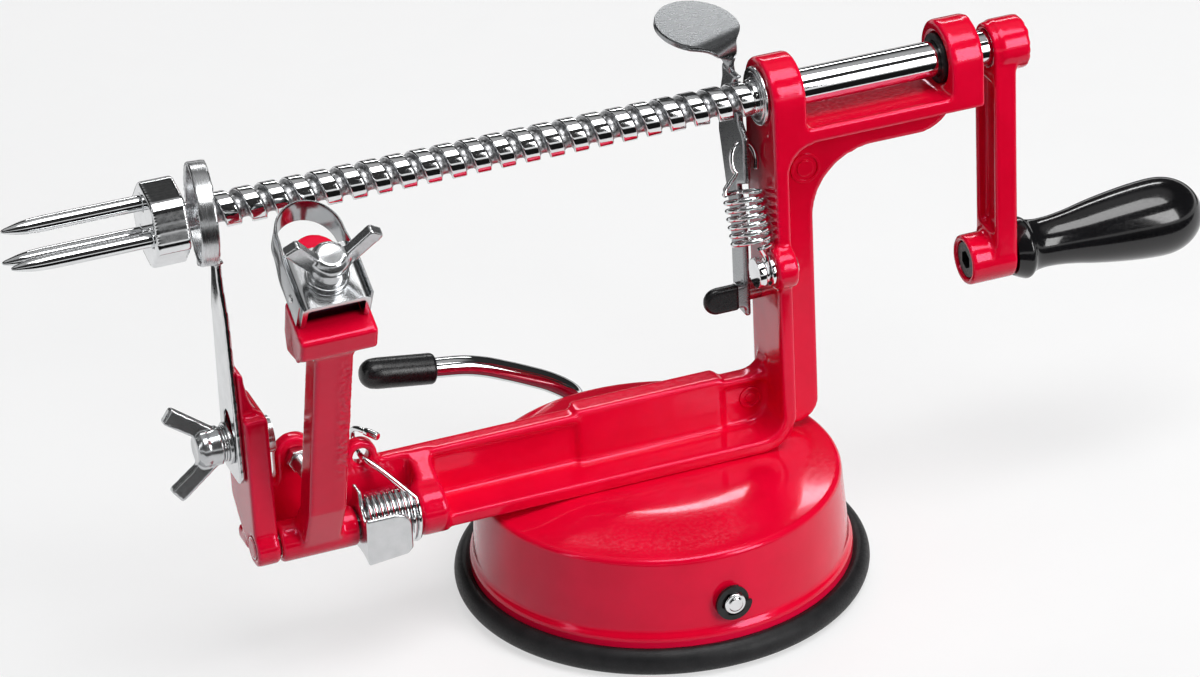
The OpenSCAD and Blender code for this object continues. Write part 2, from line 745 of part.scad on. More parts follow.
module crank_arm() color(red) difference() {
    union() {
        rod_x(crank_x, 0, shaft_z, crank_hub_l, crank_hub_r);
        rod_x(crank_boss_x, 0, crank_z, crank_boss_l, crank_boss_r);
        rod_x(crank_arm_x, 0, shaft_z, crank_t, crank_w / 2);
        translate([crank_arm_x, -crank_w / 2, crank_z]) cube([crank_t, crank_w, crank_reach]);
    }
    translate([crank_arm_x - 1, -crank_w / 2 + 1.8, crank_z + crank_boss_r + 1.6])
        cube([crank_pocket + 1, crank_w - 3.6, crank_reach - crank_boss_r - crank_hub_r - 3.2]);
    rod_x(crank_arm_x - 1, 0, shaft_z, crank_x1 - crank_arm_x, shaft_r + run_fit);
    rod_x(crank_x, 0, shaft_z, crank_hub_l + 1, 2 + run_fit);
    rod_x(crank_boss_x - 1, 0, crank_z, crank_boss_l + 2, handle_bolt_r + run_fit);
    rod_x(crank_boss_x - 1, 0, crank_z, socket_deep + 1, socket_r + part_gap);
}

module crank_screw() color(zinc) {
    rod_x(crank_x1 - 10, 0, shaft_z, 10, 2);
    rod_x(crank_x1, 0, shaft_z, 0.7, 3.8, 3.3);
}

module handle_grip() color(black) translate([grip_x, 0, crank_z]) rotate([0, 90, 0]) difference() {
    rotate_extrude()
        polygon(concat(
            [[0, 0], [handle_r * 0.72, 0], [handle_r * 0.75, 1.4], [handle_r * 0.73, 5]],
            [for (i = [0:6]) let (t = i / 6) [
                handle_r * (0.62 + 0.36 * t * t * (3 - 2 * t)), 8.5 + (handle_l * 0.72 - 8.5) * t]],
            arc([0, handle_l * 0.72 + 1], handle_r, 0, 0, 1),
            [for (i = [1:7]) let (a = 90 * i / 8) [
                handle_r * cos(a), handle_l * 0.72 + 1 + (handle_l * 0.28 - 1) * sin(a)]],
            [[0, handle_l]]));
    translate([0, 0, -1]) cylinder(h = handle_l * 0.6, r = handle_bolt_r + run_fit);
}

module handle_bolt() color(zinc) difference() {
    union() {
        rod_x(crank_boss_x + 0.8, 0, crank_z, socket_deep - 1, socket_r);
        rod_x(crank_boss_x + 1, 0, crank_z, crank_boss_l + handle_l * 0.55, handle_bolt_r);
    }
    translate([crank_boss_x, 0, crank_z])
        rotate([0, 90, 0])
            cylinder(h = 3, r = socket_r * 0.55, $fn = 6);
}

// Sheet of the thumb lever, seen along X
module thumb_outline() polygon([
    [pivot_y - tab_side, pivot_z - 5.8], [pivot_y - tab_side, pivot_z + 20],
    beside_coil(return_r + 1.2, coil_s1 + 1.2), beside_coil(-0.4, coil_s1 + 1.6),
    [hook_y - 3.8, hook_z - 3.4], [hook_y - 3.8, hook_z + 1.6],
    [hook_y - 2.2, hook_z + 3.6], [1.6, shaft_z - 7], [1.6, shaft_z + 7.2],
    [pivot_y + 3.5, shaft_z + 7.2], [pivot_y + 6.3, shaft_z + 5], [pivot_y + 6.3, shaft_z + 2],
    [pivot_y + 9, shaft_z - 5], [pivot_y + 10, shaft_z - 14], [pivot_y + 4.3, pivot_z + 19],
    [pivot_y + 4.3, pivot_z - 5.8]
]);

module thumb_lever() color(steel) {
    difference() {
        plate_yz(thumb_x, thumb_t) thumb_outline();
        rod_x(thumb_x - 1, 0, shaft_z, thumb_t + 2, notch_r);
        rod_x(thumb_x - 1, pivot_y, pivot_z, thumb_t + 2, pivot_r + run_fit);
        rod_x(thumb_x - 1, hook_y, hook_z, thumb_t + 2, hook_hole);
    }
    translate([tooth_x - tooth_t / 2, root_r + 0.35, shaft_z - tooth_h])
        cube([tooth_t, notch_r - root_r + 0.4, 2 * tooth_h]);
    translate(pad_at) rotate(pad_tilt) cylinder(h = thumb_t, r = thumb_pad_r, center = true);
    hull() {
        translate([thumb_x, pivot_y - 2.4, shaft_z + 6.2]) cube([thumb_t, 4.8, 0.5]);
        translate(pad_at)
            rotate(pad_tilt)
                rotate([0, 0, neck_at])
                    translate([thumb_pad_r - 3.3, 0, 0])
                        cylinder(h = thumb_t, r = 3, center = true, $fn = 24);
    }
    plate_xz(pivot_y - tab_side, thumb_t) {
        translate([thumb_x - tab_out, pivot_z - tab_r]) square([tab_out + 0.6, 2 * tab_r]);
        translate([thumb_x - tab_out, pivot_z]) circle(tab_r);
    }
}

module lever_pivot() color(zinc) {
    rod_x(thumb_x - 0.9, pivot_y, pivot_z, 0.8, tab_side - thumb_t - part_gap);
    rod_x(thumb_x - 0.2, pivot_y, pivot_z, post_in_x + 1 - thumb_x, pivot_r);
    rod_x(thumb_x + thumb_t + 0.1, pivot_y, pivot_z, thumb_gap - 0.1, pivot_r + 1.2);
}

// Point of the return spring, from its own axes: x, across the pull and along it
function pulled(x, v, s) = [
    coil_x + x,
    stud_y + v * pull_dir[1] + s * pull_dir[0],
    stud_z - v * pull_dir[0] + s * pull_dir[1]
];

// Path of the return spring: hook round the stud, coil, hook through the thumb lever
return_path = concat(
    [for (a = [60:-30:-180]) pulled(groove_x + groove_w / 2 - coil_x, hook_r * cos(a), hook_r * sin(a))],
    [pulled(groove_x + groove_w / 2 - coil_x, -hook_r - 0.3, coil_s0 * 0.57)],
    [for (i = [0:ceil(return_turns * coil_steps)])
        let (t = i / ceil(return_turns * coil_steps), a = 180 + 360 * return_turns * (t - 1))
            pulled(return_r * cos(a), return_r * sin(a), coil_s0 + (coil_s1 - coil_s0) * t)],
    [pulled((hook_x - loop_r - return_r) / 2, 0, coil_s1 + 2.4)],
    [for (a = [180:-30:0]) pulled(hook_x + loop_r * cos(a), 0, hook_s + loop_r * sin(a))],
    [pulled(hook_x + loop_r, 0, hook_s - 3)]);

module return_spring() color(chrome) wire(return_path, return_wire, [0, -1, 0]);

module spring_stud() color(chrome) {
    rod_x(stud_x, stud_y, stud_z, groove_x - stud_x, stud_r);
    rod_x(groove_x, stud_y, stud_z, post_in_x + 0.9 - groove_x, stud_groove_r);
    rod_x(groove_x + groove_w, stud_y, stud_z, post_x - stud_boss - groove_x - groove_w, stud_r);
    rod_x(post_in_x, stud_y, stud_z, 0.9, stud_groove_r + 1);
}

// Places its children on the arm: origin on the pin, z along the leaning column
module on_arm() translate([arm_mid, pin_y, pin_z]) rotate([arm_lean, 0, 0]) children();

// Places its children on the arm's head: z along the clamp bolt, from the bracket's underside
module on_head() on_arm() translate([0, 0, head_up]) rotate([head_turn, 0, 0]) children();

// Side of the arm's column, seen along X, spread over the hub
module column_outline() polygon([
    [col_back - arm_d, col_top + 1], [col_back - arm_d, 3 * arm_hub_r], [0.4 - arm_hub_r, 0],
    [arm_hub_r - 0.4, 0], [col_back, 2.4 * arm_hub_r], [col_back, col_top + 1]
]);

// Side of the arm's head, seen along X, with its slope under the bracket
module head_outline() {
    slope = tan(head_turn);
    front = col_back - arm_d - head_lip;
    low = head_up - head_drop / cos(head_turn) + front * slope;
    polygon([
        [front, low - head_face], [front, low], [2, low + (2 - front) * slope],
        [2, col_top + 2], [col_back, col_top - 3], [col_back - arm_d, col_top]
    ]);
}

module peeler_arm() color(red) difference() {
    union() {
        rod_x(arm_x0, pin_y, pin_z, arm_hub_l, arm_hub_r);
        on_arm() {
            plate_yz(-arm_w / 2, arm_w) column_outline();
            plate_yz(-head_w / 2, head_w) head_outline();
        }
        on_head() {
            translate([-block_w / 2, -4, -head_drop - 1]) cube([block_w, 12, head_drop + 1]);
            translate([0, nose_tip - nose_r, -head_drop]) cylinder(h = head_drop - 0.6, r = nose_r);
        }
    }
    rod_x(arm_x0 - 1, pin_y, pin_z, arm_hub_l + 2, pin_r + run_fit);
    on_head() translate([0, 0, -head_drop + 1]) cylinder(h = head_drop, r = bolt_r + run_fit);
}

module arm_pin() color(steel) {
    rod_x(upright_x, pin_y, pin_z, boss_x + boss_l - 2.2 - upright_x, pin_r);
    rod_x(sleeve_x, pin_y, pin_z, boss_x - boss_step - sleeve_x, sleeve_r);
}

// Path of the arm's spring: short leg, coil, long leg up through the rail's lug and over it
arm_spring_start = arm_leave + 360 * arm_turns;
function wound(x, a, r = arm_coil_r) = [x, pin_y + r * cos(a), pin_z + r * sin(a)];
arm_spring_path = concat(
    [wound(arm_spring_x, arm_spring_start) + 3.4 * [0, -sin(arm_spring_start), cos(arm_spring_start)]],
    [for (i = [0:ceil(arm_turns * coil_steps)])
        let (t = i / ceil(arm_turns * coil_steps))
            wound(arm_spring_x + (arm_spring_x1 - arm_spring_x) * t, arm_spring_start - 360 * arm_turns * t)],
    [
        [spring_lug_x + 4, web_y - 4.6, rail_top - 1.4], [spring_lug_x + 1, web_y - 1.6, rail_top + 1],
        [spring_lug_x, web_y + 0.6, rail_top + 1.7], [spring_lug_x, web_y + web_t, rail_top + 1.7],
        [spring_lug_x, web_y + web_t + 1.6, rail_top + 2.6],
        [spring_lug_x - 0.2, web_y + web_t + 2, rail_top + 5],
        [spring_lug_x, web_y + web_t + 0.6, rail_top + 7.2],
        [spring_lug_x + 1.4, web_y + 1.6, rail_top + 7.8], [spring_lug_x + 3.4, web_y - 2, rail_top + 7.6]
    ]);

module arm_spring() color(chrome) wire(arm_spring_path, arm_wire, [1, 0, 0]);

module arm_latch() color(zinc) difference() {
    union() {
        plate_yz(latch_x, latch_t) {
            translate([pin_y, pin_z]) circle(latch_r);
            polygon([
                [latch_pad_y, pin_z - 6.6], [pin_y, pin_z - 5.4], [pin_y + 2, pin_z + 5.6],
                [pin_y + 1, pin_z + 10.6], [pin_y - 3, pin_z + 10.6], [pin_y - 4, pin_z + 6.4],
                [latch_pad_y, pin_z + 2]
            ]);
        }
        plate_xz(latch_pad_y - latch_t, latch_t)
            polygon(concat(
                [[latch_x, pin_z - 7], [latch_x + latch_pad_l - 1.5, pin_z - 6]],
                [[latch_x + latch_pad_l, pin_z - 4.5]],
                arc([latch_x + latch_pad_l - 4, pin_z + 1.4], 4, 0, 90),
                [[latch_x, pin_z + 5.4]]));
        translate([latch_x, latch_pad_y - latch_t, pin_z - 6.6]) cube([latch_t, latch_t + 1, 8.6]);
    }
    rod_x(latch_x - 1, pin_y, pin_z, latch_t + 2, pin_r + run_fit);
}

// Where the back of the arm's column is at the stop screw's height
stop_up = (stop_z - pin_z - col_back * sin(arm_lean)) / cos(arm_lean);
stop_y = pin_y + col_back * cos(arm_lean) - stop_up * sin(arm_lean) + 0.9;

module stop_screw() color(zinc) {
    rod_y(stop_x, stop_y, stop_z, web_y + web_t + 1 - stop_y, stop_r);
    rod_y(stop_x, web_y - 3.2, stop_z, 3.2, stop_r + 0.9);
}

module peeler_bracket() color(steel) on_head() difference() {
    union() {
        translate([-bracket_w / 2, -bracket_l / 2, 0]) cube([bracket_w, bracket_l, bracket_t]);
        for (s = [0, 1])
            mirror([s, 0, 0])
                translate([-bracket_w / 2, -bracket_l / 2, bracket_t - bracket_h])
                    cube([bracket_t, bracket_l, bracket_h]);
    }
    for (s = [-1, 1])
        translate([0, s * bracket_way, -1]) cylinder(h = bracket_t + 2, r = bolt_r + 0.2);
    translate([-bolt_r - 0.2, -bracket_way, -1]) cube([2 * bolt_r + 0.4, 2 * bracket_way, bracket_t + 2]);
}

module peeler_blade() color(steel) {
    loop_r = bracket_w / 2 + 0.03 + blade_t;
    loop_y = blade_reach - loop_r;
    on_head() translate([0, 0, bracket_t - blade_w]) linear_extrude(blade_w) difference() {
        union() {
            translate([0, loop_y]) circle(loop_r);
            translate([-loop_r, -bracket_l / 2 + 1]) square([2 * loop_r, loop_y + bracket_l / 2 - 1]);
        }
        translate([0, loop_y]) circle(loop_r - blade_t);
        translate([blade_t - loop_r, -bracket_l]) square([2 * (loop_r - blade_t), loop_y + bracket_l]);
    }
}

module peeler_bolt() color(zinc) on_head()
    translate([0, 0, -head_drop + 1.1]) cylinder(h = head_drop - 1.1 + nut_z + nut_h - 1.4, r = bolt_r);

module peeler_washers() color(zinc) on_head() difference() {
    union() {
        translate([0, 0, washer_z]) cylinder(h = washer_t, r = washer_r);
        translate([0, 0, washer_z + washer_t]) cylinder(h = lock_t, r = washer_r - 0.8);
    }
    cylinder(h = 20, r = bolt_r + run_fit);
}

module peeler_wing_nut() color(zinc) on_head() translate([0, 0, nut_z]) wing_nut();

// Places its children at the middle of the coring ring
module on_ring() translate([ring_x + ring_l / 2, 0, shaft_z]) rotate([0, 0, -ring_turn]) children();

module slicer_blade() color(steel) difference() {
    union() {
        plate_yz(slicer_x, slicer_t)
            polygon([
                [-slicer_w / 2 + 2, slicer_low], [slicer_w / 2 - 2, slicer_low],
                [slicer_w / 2, slicer_low + 2], [slicer_w / 2 - 2, shaft_z - ring_r - 10],
                [slicer_w / 2 - 3.5, shaft_z - ring_r + 1.5], [-slicer_w / 2 + 2.5, shaft_z - ring_r + 1.5],
                [-slicer_w / 2 + 2, shaft_z - ring_r - 10], [-slicer_w / 2, slicer_low + 2]
            ]);
        on_ring() rod_x(-ring_l / 2, 0, 0, ring_l, ring_r);
    }
    on_ring() rod_x(-ring_l / 2 - 2, 0, 0, ring_l + 4, ring_in);
    for (up = [0, slicer_way])
        rod_x(slicer_x - 1, 0, slicer_z + up, slicer_t + 2, bolt_r + 0.2);
    translate([slicer_x - 1, -bolt_r - 0.2, slicer_z]) cube([slicer_t + 2, 2 * bolt_r + 0.4, slicer_way]);
}

slicer_nut_x = slicer_x - 0.1 - washer_t - lock_t - 0.1;

module slicer_bolt() color(zinc) {
    rod_x(slicer_nut_x - nut_h + 1.4, 0, slicer_z, upright_in - slicer_nut_x + nut_h - 1.4, bolt_r);
    rod_x(upright_in, 0, slicer_z, 2.6, bolt_r + 2);
}

module slicer_washer() color(zinc) difference() {
    union() {
        rod_x(slicer_x - 0.1 - washer_t, 0, slicer_z, washer_t, washer_r);
        rod_x(slicer_nut_x + 0.1, 0, slicer_z, lock_t, washer_r - 0.8);
    }
    rod_x(slicer_nut_x - 1, 0, slicer_z, slicer_x - slicer_nut_x + 2, bolt_r + run_fit);
}

module slicer_wing_nut() color(zinc)
    translate([slicer_nut_x, 0, slicer_z]) rotate([0, -90, 0]) rotate([0, 0, 8]) wing_nut();

echo(return_spring_gap = wire_gap(return_path, return_wire, 6));
echo(arm_spring_gap = wire_gap(arm_spring_path, arm_wire, 6));

frame();
base_dome();
suction_pad();
pad_stem();
suction_lever();
lever_cam();
lever_grip();
lever_clip();
frame_screws();
crank_shaft();
front_bush();
rear_bush();
fork_hub();
fork_prongs();
crank_arm();
crank_screw();
handle_grip();
handle_bolt();
thumb_lever();
lever_pivot();
return_spring();
spring_stud();
peeler_arm();
arm_pin();
arm_spring();
arm_latch();
stop_screw();
peeler_bracket();
peeler_blade();
peeler_bolt();
peeler_washers();
peeler_wing_nut();
slicer_blade();
slicer_bolt();
slicer_washer();
slicer_wing_nut();
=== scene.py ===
import math

import bmesh
import bpy
import numpy as np
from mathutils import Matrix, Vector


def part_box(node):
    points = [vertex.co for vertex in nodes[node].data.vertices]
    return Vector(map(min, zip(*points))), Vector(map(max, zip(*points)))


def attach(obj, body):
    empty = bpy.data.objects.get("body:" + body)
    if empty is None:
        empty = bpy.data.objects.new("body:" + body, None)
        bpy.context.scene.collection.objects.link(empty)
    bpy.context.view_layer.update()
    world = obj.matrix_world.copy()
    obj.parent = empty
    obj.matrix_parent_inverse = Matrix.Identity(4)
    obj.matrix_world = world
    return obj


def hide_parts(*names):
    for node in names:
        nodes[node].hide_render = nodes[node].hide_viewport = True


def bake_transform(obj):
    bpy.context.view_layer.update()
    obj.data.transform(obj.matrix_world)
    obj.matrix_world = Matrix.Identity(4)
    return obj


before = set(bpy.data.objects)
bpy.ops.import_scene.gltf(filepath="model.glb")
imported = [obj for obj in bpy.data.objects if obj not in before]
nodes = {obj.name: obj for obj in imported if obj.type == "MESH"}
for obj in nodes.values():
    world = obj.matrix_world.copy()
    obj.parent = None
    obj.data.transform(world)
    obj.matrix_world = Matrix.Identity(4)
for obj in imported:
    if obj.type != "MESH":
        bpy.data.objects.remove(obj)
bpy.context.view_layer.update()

import openvdb
from mathutils import Matrix, Vector, noise

# Places of the CAD model in millimetres
X_AXIS = np.array([1.0, 0.0, 0.0])
Y_AXIS = np.array([0.0, 1.0, 0.0])
Z_AXIS = np.array([0.0, 0.0, 1.0])
ORIGIN = (0, 0, 0)
SHAFT_Z = 125.0
SHAFT = (0, 0, SHAFT_Z)
PIN = np.array([0.0, -6.5, 37.4])
HEAD = np.array([-90.9, -32.495, 118.853])
HEAD_U = np.array([0.0, 0.8660, 0.5])
HEAD_N = np.array([0.0, -0.5, 0.8660])
AXLE_Z = 16.7
LEVER_Y = 52
LEVER_END = (-56, LEVER_Y, 44)
HANDLE_AT = (96.4, 0, 68)
STUD_Y, STUD_Z = -9, 82.4
SLICER_X, SLICER_BOLT_Z = -107.85, 63.6


# Materials

def node(tree, kind, **inputs):
    made = tree.nodes.new(kind)
    for key, value in inputs.items():
        made.inputs[key.replace("_", " ")].default_value = value
    return made


def noise_of(tree, scale, detail=3.0, stretch=(1, 1, 1), rough=0.55):
    place = tree.nodes.new("ShaderNodeTexCoord")
    mapping = tree.nodes.new("ShaderNodeMapping")
    mapping.inputs["Scale"].default_value = stretch
    made = node(tree, "ShaderNodeTexNoise", Scale=scale, Detail=detail, Roughness=rough)
    tree.links.new(place.outputs["Object"], mapping.inputs["Vector"])
    tree.links.new(mapping.outputs["Vector"], made.inputs["Vector"])
    return made.outputs["Fac"]


def spread(tree, value, low, high, start=0.35, end=0.65):
    """Takes a value from start to end smoothly over to low to high."""
    made = tree.nodes.new("ShaderNodeMapRange")
    made.interpolation_type = "SMOOTHSTEP"
    made.inputs["From Min"].default_value = start
    made.inputs["From Max"].default_value = end
    made.inputs["To Min"].default_value = low
    made.inputs["To Max"].default_value = high
    tree.links.new(value, made.inputs["Value"])
    return made.outputs["Result"]


def mix(tree, factor, a, b):
    made = tree.nodes.new("ShaderNodeMix")
    made.data_type = "RGBA"
    tree.links.new(factor, made.inputs["Factor"])
    for value, socket in ((a, made.inputs["A"]), (b, made.inputs["B"])):
        if isinstance(value, tuple):
            socket.default_value = (*value, 1)
        else:
            tree.links.new(value, socket)
    return made.outputs["Result"]


def bump(tree, height, depth, under=None):
    made = node(tree, "ShaderNodeBump", Distance=depth, Strength=1.0)
    tree.links.new(height, made.inputs["Height"])
    if under:
        tree.links.new(under, made.inputs["Normal"])
    return made.outputs["Normal"]


def surface(name, dark, light, rough, metallic=0.0, coat=0.0, coat_rough=0.05, gleam=0.5, tint=(1, 1, 1),
            tone=60, grain=900, stretch=(1, 1, 1), depth=1e-5, wave=90, wave_depth=0.0,
            edge=None, extra=None, shade=None):
    """Material between two tones; extra changes its normal and shade its colour."""
    made = bpy.data.materials.new(name)
    made.use_nodes = True
    tree = made.node_tree
    shader = tree.nodes["Principled BSDF"]
    shader.inputs["Metallic"].default_value = metallic
    shader.inputs["Specular IOR Level"].default_value = gleam
    shader.inputs["Specular Tint"].default_value = (*tint, 1)
    shader.inputs["Coat Weight"].default_value = coat
    shader.inputs["Coat Roughness"].default_value = coat_rough
    grains = noise_of(tree, grain, 4, stretch)
    colour = mix(tree, spread(tree, noise_of(tree, tone, 4), 0, 1, 0.3, 0.7), dark, light)
    if edge:
        sharp = tree.nodes.new("ShaderNodeNewGeometry").outputs["Pointiness"]
        colour = mix(tree, spread(tree, sharp, 0, 1, 0.505, 0.56), colour, edge)
    if shade:
        colour = shade(tree, colour)
    tree.links.new(colour, shader.inputs["Base Color"])
    tree.links.new(spread(tree, grains, *rough), shader.inputs["Roughness"])
    normal = bump(tree, grains, depth)
    if wave_depth:
        normal = bump(tree, noise_of(tree, wave, 2), wave_depth, normal)
    if extra:
        normal = extra(tree, normal)
    tree.links.new(normal, shader.inputs["Normal"])
    if coat:
        tree.links.new(normal, shader.inputs["Coat Normal"])
    return made


def metal(name, low, high, rough, metallic=1.0, **more):
    """Plain metal between two levels of grey, a little blue."""
    dark, light = ((level, level + 0.01, level + 0.02) for level in (low, high))
    return surface(name, dark, light, rough, metallic, **more)


def product_of(tree, *factors):
    total = factors[0]
    for factor in factors[1:]:
        times = tree.nodes.new("ShaderNodeMath")
        times.operation = "MULTIPLY"
        tree.links.new(total, times.inputs[0])
        tree.links.new(factor, times.inputs[1])
        total = times.outputs["Value"]
    return total


def along(tree, direction):
    """Distance along a direction from the frame's origin, in metres."""
    place = tree.nodes.new("ShaderNodeTexCoord")
    dot = tree.nodes.new("ShaderNodeVectorMath")
    dot.operation = "DOT_PRODUCT"
    dot.inputs[1].default_value = tuple(direction)
    tree.links.new(place.outputs["Object"], dot.inputs[0])
    return dot.outputs["Value"]


def rough_strip(tree, normal):
    """Rough streaks of the casting on the right side of the arm's front."""
    side = spread(tree, along(tree, X_AXIS), 0, 1, -0.0905, -0.0885)
    height = spread(tree, along(tree, Z_AXIS), 1, 0, 0.088, 0.102)
    low = spread(tree, along(tree, Z_AXIS), 0, 1, 0.058, 0.07)
    streaks = noise_of(tree, 700, 5, (1, 0.35, 0.35), 0.7)
    return bump(tree, product_of(tree, streaks, side, height, low), 3e-4, normal)


def painted_bracket_shadow(tree, colour):
    """Painted shadow, nearly black, on the face of the arm's head where the bracket covers it."""
    front = (HEAD @ HEAD_U - 7.4) / 1000
    back = (HEAD @ HEAD_U + 7.0) / 1000
    level = (HEAD @ HEAD_N - 8.6) / 1000
    left, right = (HEAD[0] - 7.2) / 1000, (HEAD[0] + 7.2) / 1000
    hard = 0.0004
    inside = spread(tree, along(tree, HEAD_U), 0, 1, front, front + 0.0016)
    before = spread(tree, along(tree, HEAD_U), 1, 0, back - 0.001, back)
    above = spread(tree, along(tree, HEAD_N), 0, 1, level, level + hard)
    past_left = spread(tree, along(tree, X_AXIS), 0, 1, left, left + hard)
    past_right = spread(tree, along(tree, X_AXIS), 1, 0, right - hard, right)
    in_painted_shadow = product_of(tree, inside, before, above, past_left, past_right)
    # Mixes the enamel towards near black as painted shade inside the bracket's opening.
    return mix(tree, in_painted_shadow, colour, (0.012, 0.0, 0.001))


RED = dict(dark=(0.72, 0.001, 0.024), light=(0.80, 0.0015, 0.03), rough=(0.1, 0.2),
           coat=0.2, coat_rough=0.05, gleam=0.45, tint=(1, 0.3, 0.62), edge=(0.88, 0.004, 0.05),
           tone=70, grain=1300, depth=2e-6)
CAST = dict(wave=140, wave_depth=5e-5)
enamel = surface("red_enamel", wave=60, wave_depth=1.5e-5, **RED)
cast_enamel = surface("red_enamel_cast", **CAST, **RED)
# The arm's enamel carries a painted shadow under the peeler bracket.
arm_enamel = surface("red_enamel_arm", extra=rough_strip, shade=painted_bracket_shadow, **CAST, **RED)
chrome = metal("chrome_plate", 0.70, 0.78, (0.065, 0.075), tone=160, grain=1500, depth=1e-7)
thread_chrome = metal("chrome_thread", 0.71, 0.77, (0.07, 0.10), tone=500, grain=2200, depth=6e-7)
groove_steel = surface("thread_groove", (0.20, 0.20, 0.21), (0.50, 0.51, 0.52), (0.25, 0.5),
                       metallic=1.0, tone=1500, grain=2600, depth=2e-5)
cast_chrome = metal("chrome_cast", 0.67, 0.73, (0.085, 0.11), tone=300, grain=900, depth=1.5e-6,
                    wave=260, wave_depth=8e-6)
wing_zinc = metal("zinc_wings", 0.50, 0.56, (0.18, 0.21), metallic=0.9, gleam=0.6, tone=420, grain=1300,
                  depth=1e-6, wave=260, wave_depth=1e-5)
zinc = metal("zinc_plate", 0.58, 0.63, (0.2, 0.24), tone=300, grain=1500, depth=1e-6)
steel = metal("bright_steel", 0.60, 0.66, (0.14, 0.17), tone=220, grain=2600, stretch=(1, 1, 0.04),
              depth=6e-7)
blade_steel = metal("blade_steel", 0.36, 0.41, (0.15, 0.18), tone=220, grain=2600, stretch=(1, 0.1, 0.1),
                    depth=5e-7)
ring_steel = metal("satin_steel", 0.50, 0.60, (0.24, 0.28), tone=220, grain=2600, stretch=(1, 0.06, 0.06),
                   depth=1e-6)
dark_steel = metal("satin_dark_steel", 0.31, 0.33, (0.27, 0.285), tone=200, grain=2600,
                   stretch=(0.15, 1, 1), depth=2e-7)
rubber = surface("black_rubber", (0.004, 0.004, 0.005), (0.010, 0.010, 0.011), (0.42, 0.6), gleam=0.3,
                 tone=240, grain=2400, depth=1.5e-5)
sleeve_rubber = surface("black_sleeve", (0.004, 0.004, 0.005), (0.008, 0.008, 0.009), (0.24, 0.36),
                        gleam=0.4, tone=240, grain=1800, depth=5e-6, wave=220, wave_depth=2e-5)
gloss = surface("black_gloss", (0.004, 0.004, 0.0045), (0.007, 0.007, 0.008), (0.12, 0.22), gleam=0.3,
                coat=0.5, coat_rough=0.06, tone=90, grain=1500, depth=3e-6, wave=70, wave_depth=3e-5)
black_steel = surface("black_steel", (0.008, 0.008, 0.008), (0.02, 0.02, 0.021), (0.3, 0.5), metallic=0.4,
                      tone=500, grain=1800, depth=6e-6)
nylon = surface("black_nylon", (0.006, 0.006, 0.007), (0.012, 0.012, 0.013), (0.4, 0.55), gleam=0.3,
                tone=300, grain=2000, depth=6e-6)


# Meshes, all in millimetres until they become a piece

def piece(name, verts, faces, paint, slot, body, stands_for=(), crease=None, pulled_by=None):
    """Makes a piece that rides on a body and stands for CAD nodes.

    When pulled_by is given, the piece is not put on the body and its place is baked into its mesh; what
    pulled_by holds is not used.
    """
    mesh = bpy.data.meshes.new(name)
    points = (np.asarray(verts, float) / 1000).tolist()
    mesh.from_pydata(points, [], [tuple(int(i) for i in f) for f in faces])
    mesh.validate()
    mesh.shade_smooth()
    if crease:
        mesh.set_sharp_from_angle(angle=math.radians(crease))
    made = bpy.data.objects.new(name, mesh)
    bpy.context.scene.collection.objects.link(made)
    mesh.materials.append(paint)
    if pulled_by:
        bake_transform(made)
    else:
        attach(made, body)
    if stands_for:
        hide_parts(*stands_for)
    return made


def paint_node(name, paint):
    mesh = nodes[name].data
    mesh.materials.clear()
    mesh.materials.append(paint)


def joined(*parts):
    """Several meshes as one."""
    verts, faces = [], []
    start = 0
    for v, f in parts:
        verts.append(np.asarray(v, float))
        faces += [tuple(i + start for i in face) for face in f]
        start += len(v)
    return np.vstack(verts), faces


def rounded(points, radius, steps=5, closed=False):
    """Polyline with its corners cut round; radius is one number or one for each point."""
    points = [np.asarray(p, float) for p in points]
    n = len(points)
    out = []
    for i, p in enumerate(points):
        r = radius[i] if isinstance(radius, (list, tuple)) else radius
        if r <= 0 or (not closed and i in (0, n - 1)):
            out.append(p)
            continue
        a, b = points[i - 1] - p, points[(i + 1) % n] - p
        cut = min(r, 0.49 * np.linalg.norm(a), 0.49 * np.linalg.norm(b))
        a = p + a / np.linalg.norm(a) * cut
        b = p + b / np.linalg.norm(b) * cut
        for k in range(steps + 1):
            t = k / steps
            out.append((1 - t) ** 2 * a + 2 * t * (1 - t) * p + t * t * b)
    return out


def axes_about(direction):
    """Two directions across the given one, and that one."""
    w = np.asarray(direction, float)
    w = w / np.linalg.norm(w)
    u = np.cross(w, Z_AXIS if abs(w[2]) < 0.9 else X_AXIS)
    u /= np.linalg.norm(u)
    return u, np.cross(w, u), w


def lathe(profile, origin, direction, sides=72):
    """Turns (along, radius) points about an axis; points on the axis close the form."""
    u, v, w = axes_about(direction)
    origin = np.asarray(origin, float)
    verts, rings = [], []
    for t, r in profile:
        if r < 1e-6:
            rings.append([len(verts)] * sides)
            verts.append(origin + t * w)
            continue
        rings.append(list(range(len(verts), len(verts) + sides)))
        for k in range(sides):
            a = 2 * math.pi * k / sides
            verts.append(origin + t * w + r * (math.cos(a) * u + math.sin(a) * v))
    faces = []
    for a, b in zip(rings, rings[1:]):
        for k in range(sides):
            m = (k + 1) % sides
            face = [a[k], a[m], b[m], b[k]]
            face = [f for i, f in enumerate(face) if f not in face[:i]]
            if len(face) > 2:
                faces.append(tuple(reversed(face)))
    return np.array(verts), faces


def turned(profile, origin, direction, radius=0.3, sides=72):
    """Like lathe, with the profile's corners cut round."""
    return lathe(rounded(profile, radius), origin, direction, sides)


def ring_section(inner, outer, start, end, radius=0.2):
    """Closed section of a washer or bush, for lathe."""
    loop = rounded([(start, inner), (start, outer), (end, outer), (end, inner)], radius, 4, True)
    return loop + loop[:1]


